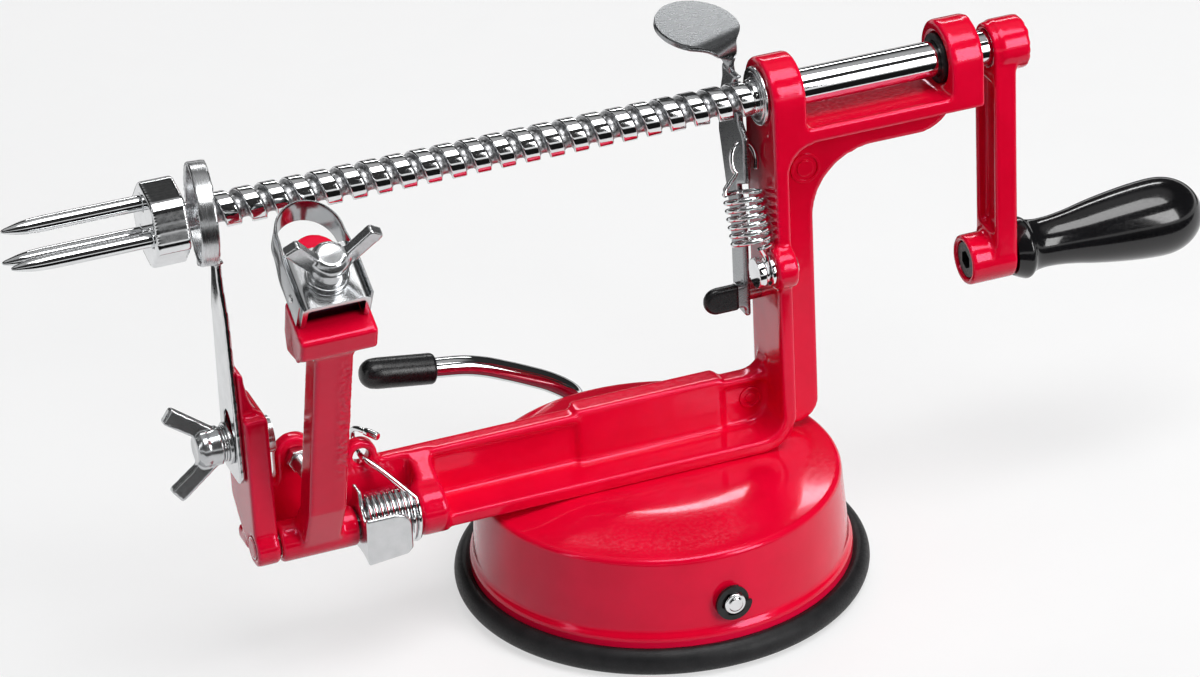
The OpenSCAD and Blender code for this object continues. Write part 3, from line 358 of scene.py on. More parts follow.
def smooth_path(points, per=8):
    """Points of a smooth curve through the given ones."""
    p = [np.asarray(q, float) for q in points]
    p = [2 * p[0] - p[1]] + p + [2 * p[-1] - p[-2]]
    out = []
    for i in range(1, len(p) - 2):
        for k in range(per):
            t = k / per
            out.append(0.5 * (2 * p[i] + (p[i + 1] - p[i - 1]) * t
                              + (2 * p[i - 1] - 5 * p[i] + 4 * p[i + 1] - p[i + 2]) * t * t
                              + (3 * p[i] - p[i - 1] - 3 * p[i + 1] + p[i + 2]) * t ** 3))
    return out + [p[-2]]


def tube(path, radius, sides=18, cap=0.35):
    """Round wire along a path, its ends turned in by the share cap."""
    path = [np.asarray(p, float) for p in path]
    last = len(path) - 1
    tangents = [path[min(i + 1, last)] - path[max(i - 1, 0)] for i in range(len(path))]
    tangents = [t / np.linalg.norm(t) for t in tangents]
    u = axes_about(tangents[0])[0]
    turn_in = []
    for a in (0.0, 0.5, 1.0):
        turn_in.append((radius * cap * (1 - math.cos(a)), radius * (1 - cap + cap * math.sin(a))))
    stations = [(path[0] + tangents[0] * step, r, 0) for step, r in turn_in]
    stations += [(p, radius, i) for i, p in enumerate(path) if 0 < i < last]
    stations += [(path[-1] - tangents[-1] * step, r, last) for step, r in reversed(turn_in)]
    verts, faces = [], []
    for centre, r, i in stations:
        w = tangents[i]
        u = u - w * (u @ w)
        u /= np.linalg.norm(u)
        v = np.cross(w, u)
        for k in range(sides):
            a = 2 * math.pi * k / sides
            verts.append(centre + r * (math.cos(a) * u + math.sin(a) * v))
    for i in range(len(stations) - 1):
        for k in range(sides):
            m = (k + 1) % sides
            faces.append((sides * i + k, sides * i + m, sides * i + sides + m, sides * i + sides + k))
    faces.append(tuple(reversed(range(sides))))
    faces.append(tuple(range(len(verts) - sides, len(verts))))
    return np.array(verts), faces


def prism(outline, low, high, place):
    """Outline drawn out between two levels; place turns (a, b, level) into a point."""
    n = len(outline)
    verts = [place(a, b, level) for level in (low, high) for a, b in outline]
    faces = [(i, (i + 1) % n, n + (i + 1) % n, n + i) for i in range(n)]
    return np.array(verts), faces + [tuple(reversed(range(n))), tuple(range(n, 2 * n))]


def strip_loop(outline, low, high, place, half):
    """Like prism, but for an outline of two facing rows of points."""
    verts, _ = prism(outline, low, high, place)
    n = len(outline)
    faces = [(i, (i + 1) % n, n + (i + 1) % n, n + i) for i in range(n)]
    for i in range(half - 1):
        a, b = n - 1 - i, n - 2 - i
        faces += [(i, a, b, i + 1), (n + i, n + i + 1, n + b, n + a)]
    return verts, faces


def block(low, high):
    outline = [(low[0], low[1]), (high[0], low[1]), (high[0], high[1]), (low[0], high[1])]
    return prism(outline, low[2], high[2], lambda a, b, c: (a, b, c))


def cad(name):
    """Triangles of a CAD node, in millimetres."""
    mesh = nodes[name].data
    mesh.calc_loop_triangles()
    verts = np.empty(len(mesh.vertices) * 3)
    mesh.vertices.foreach_get("co", verts)
    tris = np.empty(len(mesh.loop_triangles) * 3, np.int64)
    mesh.loop_triangles.foreach_get("vertices", tris)
    return verts.reshape(-1, 3) * 1000, [tuple(t) for t in tris.reshape(-1, 3)]


def cut_above(part, level):
    """What lies below a level, closed there."""
    work = bmesh.new()
    points = [work.verts.new(v) for v in part[0]]
    for face in part[1]:
        work.faces.new([points[i] for i in face])
    everything = work.verts[:] + work.edges[:] + work.faces[:]
    bmesh.ops.bisect_plane(work, geom=everything, plane_co=(0, 0, level), plane_no=(0, 0, 1),
                           clear_outer=True)
    bmesh.ops.holes_fill(work, edges=[edge for edge in work.edges if edge.is_boundary])
    bmesh.ops.triangulate(work, faces=work.faces[:])
    work.verts.index_update()
    verts = np.array([tuple(v.co) for v in work.verts])
    faces = [tuple(v.index for v in face.verts) for face in work.faces]
    work.free()
    return verts, faces


def softened(parts, voxel, fillet, edge, relax=2):
    """One skin over the parts, its inner corners filled and its edges broken, as on a casting."""
    verts, faces = joined(*parts)
    tris = np.array([(f[0], f[i], f[i + 1]) for f in faces for i in range(1, len(f) - 1)], np.uint32)
    points, quads = verts.astype(np.float32), None
    reach = (fillet + edge) / voxel + 3
    for level in (fillet, -fillet - edge, edge):
        grid = openvdb.FloatGrid.createLevelSetFromPolygons(
            points, triangles=tris, quads=quads,
            transform=openvdb.createLinearTransform(voxelSize=voxel), halfWidth=reach)
        points, tris, quads = grid.convertToPolygons(isovalue=level)
    quads = quads.astype(np.int64)
    points = points.astype(float)
    edges = np.vstack([quads[:, [0, 1]], quads[:, [1, 2]], quads[:, [2, 3]], quads[:, [3, 0]]])
    for _ in range(relax):
        total = np.zeros_like(points)
        count = np.zeros(len(points))
        for a, b in ((0, 1), (1, 0)):
            np.add.at(total, edges[:, a], points[edges[:, b]])
            np.add.at(count, edges[:, a], 1)
        points = 0.5 * points + 0.5 * total / np.maximum(count, 1)[:, None]
    a, b, c = (points[quads[:, i]] for i in (0, 1, 2))
    if np.einsum("ij,ij->i", a, np.cross(b, c)).sum() < 0:
        quads = quads[:, ::-1]
    return points, quads


def strip(path, across, place):
    """Flat strip along a path in a plane; across is its section, outwards and up."""
    verts, faces = [], []
    path = [np.asarray(p, float) for p in path]
    n = len(across)
    for i, p in enumerate(path):
        way = path[min(i + 1, len(path) - 1)] - path[max(i - 1, 0)]
        side = np.array([-way[1], way[0]]) / np.linalg.norm(way)
        verts += [place(*(p + side * a), b) for a, b in across]
    for i in range(len(path) - 1):
        for k in range(n):
            m = (k + 1) % n
            faces.append((n * i + k, n * i + m, n * i + n + m, n * i + n + k))
    faces += [tuple(reversed(range(n))), tuple(range(len(verts) - n, len(verts)))]
    return np.array(verts), faces


def bezier(points, t):
    a, b, c, d = (np.asarray(p, float) for p in points)
    return (1 - t) ** 3 * a + 3 * t * (1 - t) ** 2 * b + 3 * t * t * (1 - t) * c + t ** 3 * d


def turn_points(a0, a1, step):
    """Angles from one to another in degrees, in steps, as radians."""
    return np.radians(np.linspace(a0, a1, int(abs(a1 - a0) / step) + 1))


def eased(share):
    """Share held between 0 and 1, with a soft start and end."""
    share = np.clip(share, 0, 1)
    return share * share * (3 - 2 * share)


def on_head(x, y, z):
    """Point in the tilted frame of the arm's head."""
    return HEAD + x * X_AXIS + y * HEAD_U + z * HEAD_N


# Base: dome, pad and suction lever
dome_corners = [(32, 0), (32, 27), (30.7, 36), (30.0, 42.5), (29.5, 45.5), (10.4, 46.9), (9.0, 47.9),
                (6.6, 47.9)]
dome_outer = rounded(dome_corners, [0, 9, 6, 3, 5, 1.2, 0.8, 0], steps=8)
dome_inner = [(6.6, 46.6), (9.2, 46.4), (25, 44.2), (28, 41), (29.3, 36), (30.6, 28), (30.6, 0)]
dome = lathe(dome_outer + dome_inner, ORIGIN, Z_AXIS, sides=256)
piece("dome_shell", *dome, enamel, "red_enamel", "frame", ["base_dome"], crease=40)

LIP_R, LIP_MID = 3.7, 48.3
lip_angles = np.linspace(0.1, math.pi - 0.35, 20)
lip = [(LIP_R - LIP_R * math.cos(a), LIP_MID + LIP_R * math.sin(a)) for a in lip_angles]
pad_profile = [(0, 0), (0, 48)] + lip + [(6.9, 48.6), (6.5, 47.9), (6.5, 45), (2.4, 44.4), (2.4, 0)]
pad = lathe(pad_profile, ORIGIN, Z_AXIS, sides=256)
piece("rubber_pad", *pad, rubber, "black_rubber", "frame", ["suction_pad"], crease=50)

lever_bend = [(0, 40, AXLE_Z), (0, 46.5, AXLE_Z), (0, 49.3, 16.9), (-0.3, 51.2, 17.9)]
lever_rise = [(-0.8, 20.1), (-1.6, 23.2), (-3.9, 26.5), (-9.0, 30.3), (-15.1, 33.6), (-21.3, 36.6),
              (-26.3, 38.8), (-31.9, 40.5), (-39.2, 41.6), (-47.5, 42.75)]
lever_path = smooth_path(lever_bend + [(x, LEVER_Y, z) for x, z in lever_rise] + [LEVER_END])
axle_end = 1000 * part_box("suction_lever")[0][1]
axle_profile = [(0, 0), (0, 1.6), (0.35, 1.9), (0.45, 2.7), (89, 2.7), (89, 0)]
axle = turned(axle_profile, (0, axle_end, AXLE_Z), Y_AXIS)
rod = joined(tube(lever_path, radius=2.67, sides=32, cap=0.1), axle)
piece("lever_rod", *rod, chrome, "chrome_plate", "suction", ["suction_lever"], crease=45)

sleeve_corners = [(-16.1, 2.6), (-16.4, 3.6), (-15.8, 4.0), (-1, 4.0), (1.2, 3.7), (3.0, 2.2), (3.35, 0)]
sleeve_profile = rounded(sleeve_corners, [0, 0.3, 0.5, 1, 2, 1.6, 0], steps=8)
sleeve_way = np.array([-16.8, 0, 2.46])
sleeve = lathe(sleeve_profile, LEVER_END, sleeve_way, sides=64)
piece("lever_sleeve", *sleeve, sleeve_rubber, "black_rubber", "suction", ["lever_grip"], crease=60)

# Clip on the front end of the lever's axle
CLIP_POINTS = 60
CLIP_TURN = math.radians(35)


def clip_outline(radius=4.6, groove=3.3, tooth=2.75, teeth_at=(60, 180, 300), start=38, end=322):
    """Retaining clip with an open side and three inner teeth."""
    outside = np.radians(np.linspace(start, end, CLIP_POINTS))
    outer = [(radius * math.cos(a), radius * math.sin(a)) for a in outside]
    inner = []
    for degrees in np.linspace(end, start, CLIP_POINTS):
        a = math.radians(degrees)
        r = tooth if min(abs(degrees - at) for at in teeth_at) < 20 else groove
        inner.append((r * math.cos(a), r * math.sin(a)))
    return outer + inner


def on_clip(a, b, y):
    """Point of the clip, turned about the axle."""
    c, s = math.cos(CLIP_TURN), math.sin(CLIP_TURN)
    return a * c - b * s, y, AXLE_Z + a * s + b * c


clip_front = 1000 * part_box("lever_clip")[0][1]
clip_back = clip_front + 0.9
clip = strip_loop(clip_outline(), clip_front, clip_back, on_clip, half=CLIP_POINTS)
clip_ring = ring_section(2.75, 4.1, clip_back, clip_front + 1.3, radius=0.1)
clip_washer = lathe(clip_ring, (0, 0, AXLE_Z), Y_AXIS, sides=48)
clip_pair = joined(clip, clip_washer)
piece("axle_clip", *clip_pair, black_steel, "black_steel", "suction", ["lever_clip"], crease=30)


# Frame casting with its beads and ejector marks
UPPER_MARK = (42.45, 0, 102.2)
LOWER_MARK = (25.9, 0, 42.5)


def mark_ring(at, outer, inner):
    return lathe(ring_section(inner, outer, 1.02, 1.8, radius=0.1), at, Y_AXIS, sides=40)


def mark_disc(at, r):
    return turned([(1.1, 0), (1.1, r), (1.8, r), (1.8, 0)], at, Y_AXIS, radius=0.2, sides=40)


marks = [mark_ring(UPPER_MARK, 3.9, 3.2), mark_ring(LOWER_MARK, 2.9, 2.3),
         mark_disc(UPPER_MARK, 2.2), mark_disc(LOWER_MARK, 1.3)]
beads = [block((x0, 0.1, 47.2), (x1, 2, 49.0)) for x0, x1 in ((-58, -20.5), (18.5, 31))]
core = [(31.5, 0), (31.5, 1.75), (44, 1.75), (44, 0)]
screw_cores = [turned(core, (x, 3.4, 0), Z_AXIS, radius=0.2, sides=24) for x in (-15.5, 15.5)]
skin = softened([cad("frame")] + beads + screw_cores, voxel=0.42, fillet=0.9, edge=0.65)
piece("frame_casting", *joined(skin, *marks), cast_enamel, "red_enamel", "frame", ["frame"])


# Shaft with its feed thread and the fork
def feed_thread(x0, x1, lead, ridge, top, root, sides=96):
    """Ridge and groove wound about the shaft: points, faces of the ridge, faces of the groove."""
    across = [0.0, 0.1, 0.25, 0.5, ridge / 2, ridge - 0.5, ridge - 0.25, ridge - 0.1,
              ridge, ridge + 0.12, ridge + 0.3, ridge + 0.6,
              (ridge + lead) / 2, lead - 0.6, lead - 0.3, lead - 0.12]
    radii = [top - 0.4, top - 0.12, top - 0.02, top, top, top, top - 0.02, top - 0.12,
             top - 0.4, root + 0.45, root + 0.16, root + 0.03,
             root, root + 0.03, root + 0.16, root + 0.45]
    ridge_steps = 8
    k = len(across)
    turns = int((x1 - x0) / lead) + 3
    verts = []
    for m in range(turns * k):
        r = radii[m % k]
        for j in range(sides):
            a = 2 * math.pi * j / sides
            x = x0 + lead * (m // k - 1 + j / sides) + across[m % k]
            verts.append((min(max(x, x0), x1), r * math.cos(a), SHAFT_Z + r * math.sin(a)))
    ridges, grooves = [], []
    for m in range(turns * k - 1 - k):
        for j in range(sides):
            if j < sides - 1:
                b, c = (m + 1) * sides + j + 1, m * sides + j + 1
            else:
                b, c = (m + k + 1) * sides, (m + k) * sides
            face = (m * sides + j, (m + 1) * sides + j, b, c)
            reach = [verts[i][0] for i in face]
            if max(reach) - min(reach) > 1e-6:
                (ridges if m % k < ridge_steps else grooves).append(face)
    return np.array(verts), ridges, grooves


thread, ridges, grooves = feed_thread(-109.0, 27.9, lead=6.2, ridge=3.8, top=4.35, root=2.85)
plain = turned([(-122, 0), (-122, 3.45), (-108.8, 3.45), (-108.8, 0)], SHAFT, X_AXIS, radius=0.2, sides=64)
drive_profile = [(27.4, 0), (27.4, 4.0), (27.9, 4.45), (98.6, 4.45), (98.6, 2.1), (98.0, 2.1), (98.0, 0)]
drive = turned(drive_profile, SHAFT, X_AXIS, radius=0.25, sides=96)
whole = joined((thread, ridges + grooves), plain, drive)
shaft = piece("feed_shaft", *whole, thread_chrome, "chrome_plate", "shaft", ["crank_shaft"], crease=40)
shaft.data.materials.append(groove_steel)
shaft.data.materials.append(chrome)
for polygon in shaft.data.polygons:
    if polygon.index >= len(ridges) + len(grooves):
        polygon.material_index = 2
    elif polygon.index >= len(ridges):
        polygon.material_index = 1

hub = softened([cad("fork_hub")], voxel=0.22, fillet=0.25, edge=0.5)
piece("hub_block", *hub, cast_chrome, "chrome_plate", "shaft", ["fork_hub"])
tine_corners = [(118.4, 0), (118.4, 1.9), (148.5, 1.9), (152.5, 1.62), (156.8, 0.62), (157.4, 0.3),
                (157.5, 0)]
tine = rounded(tine_corners, [0, 0.2, 3, 2, 0.6, 0.2, 0], steps=6)
TINE_OUT = 5.4
tines = []
for degrees in (-17, 103, 223):
    a = math.radians(degrees)
    at = (0, -TINE_OUT * math.sin(a), SHAFT_Z + TINE_OUT * math.cos(a))
    tines.append(lathe(tine, at, -X_AXIS, sides=48))
piece("fork_tines", *joined(*tines), chrome, "chrome_plate", "shaft", ["fork_prongs"], crease=60)

# Bushes, crank and handle
bush = lathe(ring_section(4.5, 6.2, 29.0, 39.1, radius=0.3), SHAFT, X_AXIS)
flange = lathe(ring_section(4.5, 7.3, 29.2, 30.3, radius=0.45), SHAFT, X_AXIS)
piece("front_bush_ring", *joined(bush, flange), zinc, "zinc_plate", "frame", ["front_bush"], crease=40)
rear_bush = lathe(ring_section(4.5, 6.2, 76.6, 86.0, radius=0.35), SHAFT, X_AXIS)
piece("rear_bush_ring", *rear_bush, nylon, "black_nylon", "bush", ["rear_bush"], crease=40)
crank = softened([cad("crank_arm")], voxel=0.32, fillet=0.7, edge=0.6)
piece("crank_casting", *crank, cast_enamel, "red_enamel", "shaft", ["crank_arm"])
handle_points = [(0, 6.5), (1.5, 7.3), (3.0, 7.9), (3.9, 7.75), (5.0, 6.95), (6.6, 6.45), (9.0, 6.25),
                 (12.5, 6.4), (17, 7.0), (22, 7.95), (27, 8.75), (33, 9.5), (38, 9.9), (41.5, 9.98),
                 (44.5, 9.6), (47.3, 8.6), (49.8, 6.9), (51.6, 4.7), (52.7, 2.3), (53, 0)]
handle_profile = [(0, 0)] + [(t, max(r, 0)) for t, r in smooth_path(handle_points, per=4)]
handle = lathe(handle_profile, HANDLE_AT, X_AXIS, sides=128)
piece("handle_body", *handle, gloss, "black_gloss", "grip", ["handle_grip"], crease=60)

# Thumb lever with its pad and dipped tab
PAD_AT = np.array([20.6, 14.0, 139.5])
PAD_X = np.array([0.9959, 0, -0.0906])
PAD_Y = np.array([0.0164, 0.9836, 0.1798])
NECK_TURN = math.radians(-66)
NECK_TOP, NECK_FOOT = (24.2, 5.1, 136.3), (25.7, 6.4, 130.4)


def spoon(radius=10.5, start=6.0, neck=1.5, thick=0.8, soft=0.3):
    """Thumb pad: a round leaf whose near side narrows, bends down and twists into the lever's neck."""
    lead = math.cos(NECK_TURN) * PAD_X + math.sin(NECK_TURN) * PAD_Y
    side = math.cos(NECK_TURN) * PAD_Y - math.sin(NECK_TURN) * PAD_X
    stations = []
    for u in -radius * np.cos(np.linspace(0.05, math.acos(-start / radius), 40)):
        stations.append((PAD_AT + u * lead, math.sqrt(radius ** 2 - u ** 2), side))
    bend = [PAD_AT + start * lead, PAD_AT + 9.8 * lead, NECK_TOP, NECK_FOOT]
    wide = math.sqrt(radius ** 2 - start ** 2)
    for t in np.linspace(0, 1, 41)[1:]:
        narrow = (1 - t) ** 2 * (1 + 0.5 * t)
        twist = eased((t - 0.45) / 0.55)
        across = (1 - twist) * side - twist * Y_AXIS
        stations.append((bezier(bend, t), neck + (wide - neck) * narrow, across))
    verts = []
    for i, (p, w, across) in enumerate(stations):
        way = stations[min(i + 1, len(stations) - 1)][0] - stations[max(i - 1, 0)][0]
        way /= np.linalg.norm(way)
        across = across - way * (across @ way)
        across /= np.linalg.norm(across)
        up = np.cross(way, across)
        inset = min(soft, 0.5 * w)
        for out, level in ((-w + inset, -thick), (w - inset, -thick), (w, soft - thick), (w, thick - soft),
                           (w - inset, thick), (-w + inset, thick), (-w, thick - soft), (-w, soft - thick)):
            verts.append(p + out * across + level * up)
    faces = [(8 * i + k, 8 * i + (k + 1) % 8, 8 * i + 8 + (k + 1) % 8, 8 * i + 8 + k)
             for i in range(len(stations) - 1) for k in range(8)]
    last = len(verts) - 8
    return np.array(verts), faces + [tuple(reversed(range(8))), tuple(range(last, last + 8))]


PLATE_TOP = 131.15
plate = softened([cut_above(cad("thumb_lever"), PLATE_TOP)], voxel=0.24, fillet=0.6, edge=0.4, relax=6)
piece("thumb_plate", *plate, dark_steel, "bright_steel", "thumb", ["thumb_lever"])
piece("thumb_pad", *spoon(), dark_steel, "bright_steel", "thumb", (), crease=38)
TAB_R = 3.45
tab = [(18.1 + TAB_R * math.cos(a), 71 + TAB_R * math.sin(a)) for a in np.radians(np.linspace(90, 270, 24))]
tab += [(23.9, 67.55), (23.9, 74.45)]
tab_block = prism(tab, 0.62, 2.98, lambda a, b, y: (a, y, b))
dip = softened([tab_block], voxel=0.24, fillet=0.3, edge=0.75)
piece("tab_dip", *dip, sleeve_rubber, "bright_steel", "thumb")

# Return spring between the stud and the thumb lever
stud_corners = [(24.0, 0), (24.0, 3.8), (25.9, 3.8), (25.9, 1.6), (27.4, 1.6), (27.4, 3.8), (28.5, 3.8),
                (28.5, 1.6), (33.9, 1.6), (33.9, 2.6), (34.8, 2.6), (34.8, 0)]
stud = turned(stud_corners, (0, STUD_Y, STUD_Z), X_AXIS)
piece("stud_turned", *stud, chrome, "chrome_plate", "frame", ["spring_stud"], crease=40)
SPRING_X = 24.75
PULL_Y, PULL_Z = np.array([11.4, 30.6]) / 32.654
HOOK_R, COIL_R = 2.3, 4.7


def pulled(x, v, s):
    """Point of the return spring: along X from its coil's middle, across the pull and along it."""
    return np.array([SPRING_X + x, STUD_Y + v * PULL_Z + s * PULL_Y, STUD_Z - v * PULL_Y + s * PULL_Z])


lower_hook = [pulled(1.9, HOOK_R * math.cos(a), HOOK_R * math.sin(a)) for a in turn_points(60, -180, 15)]
lower_end = smooth_path(lower_hook + [pulled(1.9, -2.6, 3.6)], per=3)
angles = turn_points(180 - 360 * 6.75, 180, 11.25)
coil = [pulled(COIL_R * math.cos(a), COIL_R * math.sin(a), 6.3 + 13.84 * i / (len(angles) - 1))
        for i, a in enumerate(angles)]
upper_hook = [pulled(1.45 + 3.2 * math.cos(a), 0, 27.5 + 4.6 * math.sin(a))
              for a in turn_points(215, -35, 10)]
upper_end = smooth_path([pulled(-4.2, 0.9, 21.4), pulled(-3.0, 0.6, 22.8)] + upper_hook, per=3)
spring = tube(lower_end + coil + upper_end, radius=0.64, sides=14)
piece("return_coil", *spring, chrome, "chrome_plate", "frame", ["return_spring"], crease=60,
      pulled_by=("thumb", pulled(0, 0, 5), pulled(0, 0, 24)))


# Peeler arm, its spring, latch and stop
def roughened(points):
    """Rough strip that the mould left on the right side of the arm's front."""
    out = np.array(points, float)
    x, z = out[:, 0], out[:, 2]
    share = np.clip((x + 90.3) / 1.6, 0, 1) * np.clip((z - 58) / 8, 0, 1) * np.clip((99 - z) / 8, 0, 1)
    for i in np.flatnonzero(share > 0):
        p = Vector(out[i])
        rise = noise.noise(p * 0.55) + 0.8 * noise.noise(p * 1.3 + Vector((7, 3, 1)))
        out[i, 1] -= 0.26 * share[i] * rise
    return out


arm_verts, arm_faces = softened([cad("peeler_arm")], voxel=0.32, fillet=0.8, edge=0.6)
piece("arm_casting", roughened(arm_verts), arm_faces, arm_enamel, "red_enamel", "arm", ["peeler_arm"])


def wound(x, a, r=6.7):
    """Point of the arm spring's coil about the pin."""
    return np.array([x, PIN[1] + r * math.cos(a), PIN[2] + r * math.sin(a)])


angles = turn_points(125 + 360 * 8.25, 125, 11.25)
arm_coil = [wound(-78.5 + 12.19 * i / (len(angles) - 1), a) for i, a in enumerate(angles)]
first = angles[0]
short_leg = [arm_coil[0] + 3.4 * np.array([0, -math.sin(first), math.cos(first)])]
leg_points = [(-71.6, -3.2, 47.6), (-74.6, -0.2, 50), (-75.6, 2, 50.7), (-75.6, 5.4, 50.7),
              (-75.6, 7, 51.6), (-75.8, 7.4, 54), (-75.6, 6, 56.2), (-74.2, 3, 56.8), (-72.2, -0.6, 56.6)]
long_leg = smooth_path([arm_coil[-1]] + leg_points, per=6)
wire = tube(short_leg + arm_coil + long_leg[1:], radius=0.68, sides=16)
tip_points = [(-74.0, 2.6, 56.8), (-73.2, 1.2, 56.75), (-72.3, -0.42, 56.65), (-71.9, -1.1, 56.6)]
tip = tube(tip_points, radius=1.0, sides=20, cap=0.3)
piece("arm_coil", *joined(wire, tip), chrome, "chrome_plate", "frame", ["arm_spring"], crease=60)
latch = softened([cad("arm_latch")], voxel=0.18, fillet=1.0, edge=0.3)
piece("latch_pressing", *latch, zinc, "zinc_plate", "latch", ["arm_latch"])

stop_low, stop_high = (1000 * np.array(corner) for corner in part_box("stop_screw"))
stop_at = ((stop_low[0] + stop_high[0]) / 2, 0, (stop_low[2] + stop_high[2]) / 2)
stop_r = (stop_high[0] - stop_low[0]) / 2 - 0.9
stop_front, stop_back = stop_low[1], stop_high[1]
crests = [(y, stop_r - 0.3 * (i % 2)) for i, y in enumerate(np.arange(stop_front + 0.8, stop_back, 0.45))]
stop_profile = [(stop_front, 0), (stop_front + 0.1, stop_r - 0.8)] + crests
stop_profile += [(stop_back, stop_r - 0.5), (stop_back, 0)]
stop_rod = lathe(stop_profile, stop_at, Y_AXIS, sides=40)
stop_nut = lathe(ring_section(stop_r - 0.5, stop_r + 1.0, -1.8, 1.4, radius=0.4), stop_at, Y_AXIS, sides=6)
piece("stop_thread", *joined(stop_rod, stop_nut), zinc, "zinc_plate", "frame", ["stop_screw"], crease=35)

# Peeler bracket, blade and clamp
outer = rounded([(-8.3, -6.3), (-8.3, 1.3), (8.3, 1.3), (8.3, -6.3)], 2.0, steps=8)
inner = rounded([(7.0, -6.3), (7.0, 0), (-7.0, 0), (-7.0, -6.3)], 0.9, steps=8)
bracket = strip_loop(outer + inner, -8.0, 8.0, lambda a, b, y: on_head(a, y, b), half=len(outer))
dimple_profile = [(0, 0), (0, 1.1), (0.5, 0.9), (0.75, 0)]
dimple = turned(dimple_profile, on_head(-8.95, -2.2, -2.0), -X_AXIS, radius=0.5, sides=32)
pressing = joined(bracket, dimple)
channel = piece("bracket_channel", *pressing, steel, "bright_steel", "bracket", ["peeler_bracket"],
                crease=35)
bevel = channel.modifiers.new("edges", "BEVEL")
bevel.width = 0.00022
bevel.segments = 2
bevel.limit_method = "ANGLE"

BLADE_BACK, BLADE_BEND = -7, 12.5


def blade_half(y):
    """Half width of the blade's loop, which narrows a little in front of the bracket."""
    return 8.68 - 0.85 * eased((y - 4) / 8.5)


loop = [(-blade_half(y), y) for y in np.linspace(BLADE_BACK, BLADE_BEND, 24)]
loop += [(7.83 * math.cos(a), BLADE_BEND + 8.7 * math.sin(a)) for a in np.radians(np.linspace(177, 3, 60))]
loop += [(blade_half(y), y) for y in np.linspace(BLADE_BEND, BLADE_BACK, 24)]
section = [(-0.35, -6.3), (-0.35, 0.9), (-0.1, 1.3), (0.1, 1.3), (0.35, 0.9), (0.35, -6.3)]
blade = strip(loop, section, on_head)
piece("blade_loop", *blade, blade_steel, "bright_steel", "bracket", ["peeler_blade"], crease=35)

CROWN = [(3.0, 0), (3.0, 4.5), (4.7, 4.5), (6.0, 3.5), (6.2, 3.1), (6.0, 0)]
BOLT_R = 2.55


def washers(origin, direction, start, rings):
    """Washers one on the other; rings lists the thickness and radius of each."""
    parts = []
    for thick, radius in rings:
        ring = ring_section(BOLT_R, radius, start, start + thick, radius=0.3)
        parts.append(lathe(ring, origin, direction, sides=56))
        start += thick
    return joined(*parts)


def wing_nut(name, origin, direction):
    """Skin over the wings of the CAD nut and a turned crown."""
    crown = turned(CROWN, origin, direction, radius=0.4, sides=48)
    return softened([cad(name), crown], voxel=0.2, fillet=0.5, edge=0.3)


cap_profile = [(0, 0), (0, 2.3), (0.25, 2.75), (0.6, 2.85), (0.6, 0)]
pin_cap = turned(cap_profile, (-107.15, PIN[1], PIN[2]), X_AXIS, radius=0.2)
piece("pin_cap", *pin_cap, enamel, "red_enamel", "frame", (), crease=60)
peeler_stack = washers(HEAD, HEAD_N, 1.4, [(0.9, 5.2), (0.65, 4.5), (0.65, 4.35)])
piece("peeler_washer_stack", *peeler_stack, zinc, "zinc_plate", "arm", ["peeler_washers"], crease=40)
peeler_wings = wing_nut("peeler_wing_nut", on_head(0, 0, 3.7), HEAD_N)
piece("peeler_wings", *peeler_wings, wing_zinc, "zinc_plate", "peeler_nut", ["peeler_wing_nut"])

# Slicer
RING_TURN = math.radians(-8)
RING_LOW = 0.1122


def twisted(points):
    """Turns the top of the slicer's arm into the plane of its ring."""
    out = np.array(points, float)
    z = out[:, 2]
    a = RING_TURN * (eased((z - 97) / 13) * (z < 113.2))
    x, y = out[:, 0] - SLICER_X, out[:, 1].copy()
    out[:, 0] = np.cos(a) * x - np.sin(a) * y + SLICER_X
    out[:, 1] = np.sin(a) * x + np.cos(a) * y
    return out


slicer_verts, slicer_faces = softened([cad("slicer_blade")], voxel=0.2, fillet=0.5, edge=0.3, relax=5)
slicer = piece("slicer_arm", twisted(slicer_verts), slicer_faces, steel, "bright_steel", "slicer",
               ["slicer_blade"])
slicer.data.materials.append(ring_steel)
for polygon in slicer.data.polygons:
    if polygon.center.z > RING_LOW:
        polygon.material_index = 1
slicer_stack = washers((0, 0, SLICER_BOLT_Z), -X_AXIS, 108.7, [(1.0, 5.2), (0.6, 4.5), (0.6, 4.35)])
piece("slicer_washer_stack", *slicer_stack, zinc, "zinc_plate", "frame", ["slicer_washer"], crease=40)
slicer_wings = wing_nut("slicer_wing_nut", (-111.0, 0, SLICER_BOLT_Z), -X_AXIS)
piece("slicer_wings", *slicer_wings, wing_zinc, "zinc_plate", "slicer_nut", ["slicer_wing_nut"])

# CAD nodes whose shape is right
paint_node("pad_stem", nylon)
paint_node("handle_bolt", black_steel)
paint_node("arm_pin", steel)
for name in ("lever_cam", "frame_screws", "crank_screw", "lever_pivot", "peeler_bolt", "slicer_bolt"):
    paint_node(name, zinc)


# Background that shows dark bands in the chrome and lights evenly
scene = bpy.context.scene
scene.view_settings.view_transform = "Standard"
SKY = ((0.07, 1.0), (0.12, 0.02), (0.76, 0.03), (0.9, 0.45))
FLOOR_GLOW = 0.6


def seen_directly(tree):
    """1 for rays that show the background, 0 for rays that light the object."""
    path = tree.nodes.new("ShaderNodeLightPath")
    total = path.outputs["Is Camera Ray"]
    for name in ("Is Glossy Ray", "Is Transmission Ray"):
        more = tree.nodes.new("ShaderNodeMath")
        more.operation = "MAXIMUM"
        tree.links.new(total, more.inputs[0])
        tree.links.new(path.outputs[name], more.inputs[1])
        total = more.outputs["Value"]
    return total


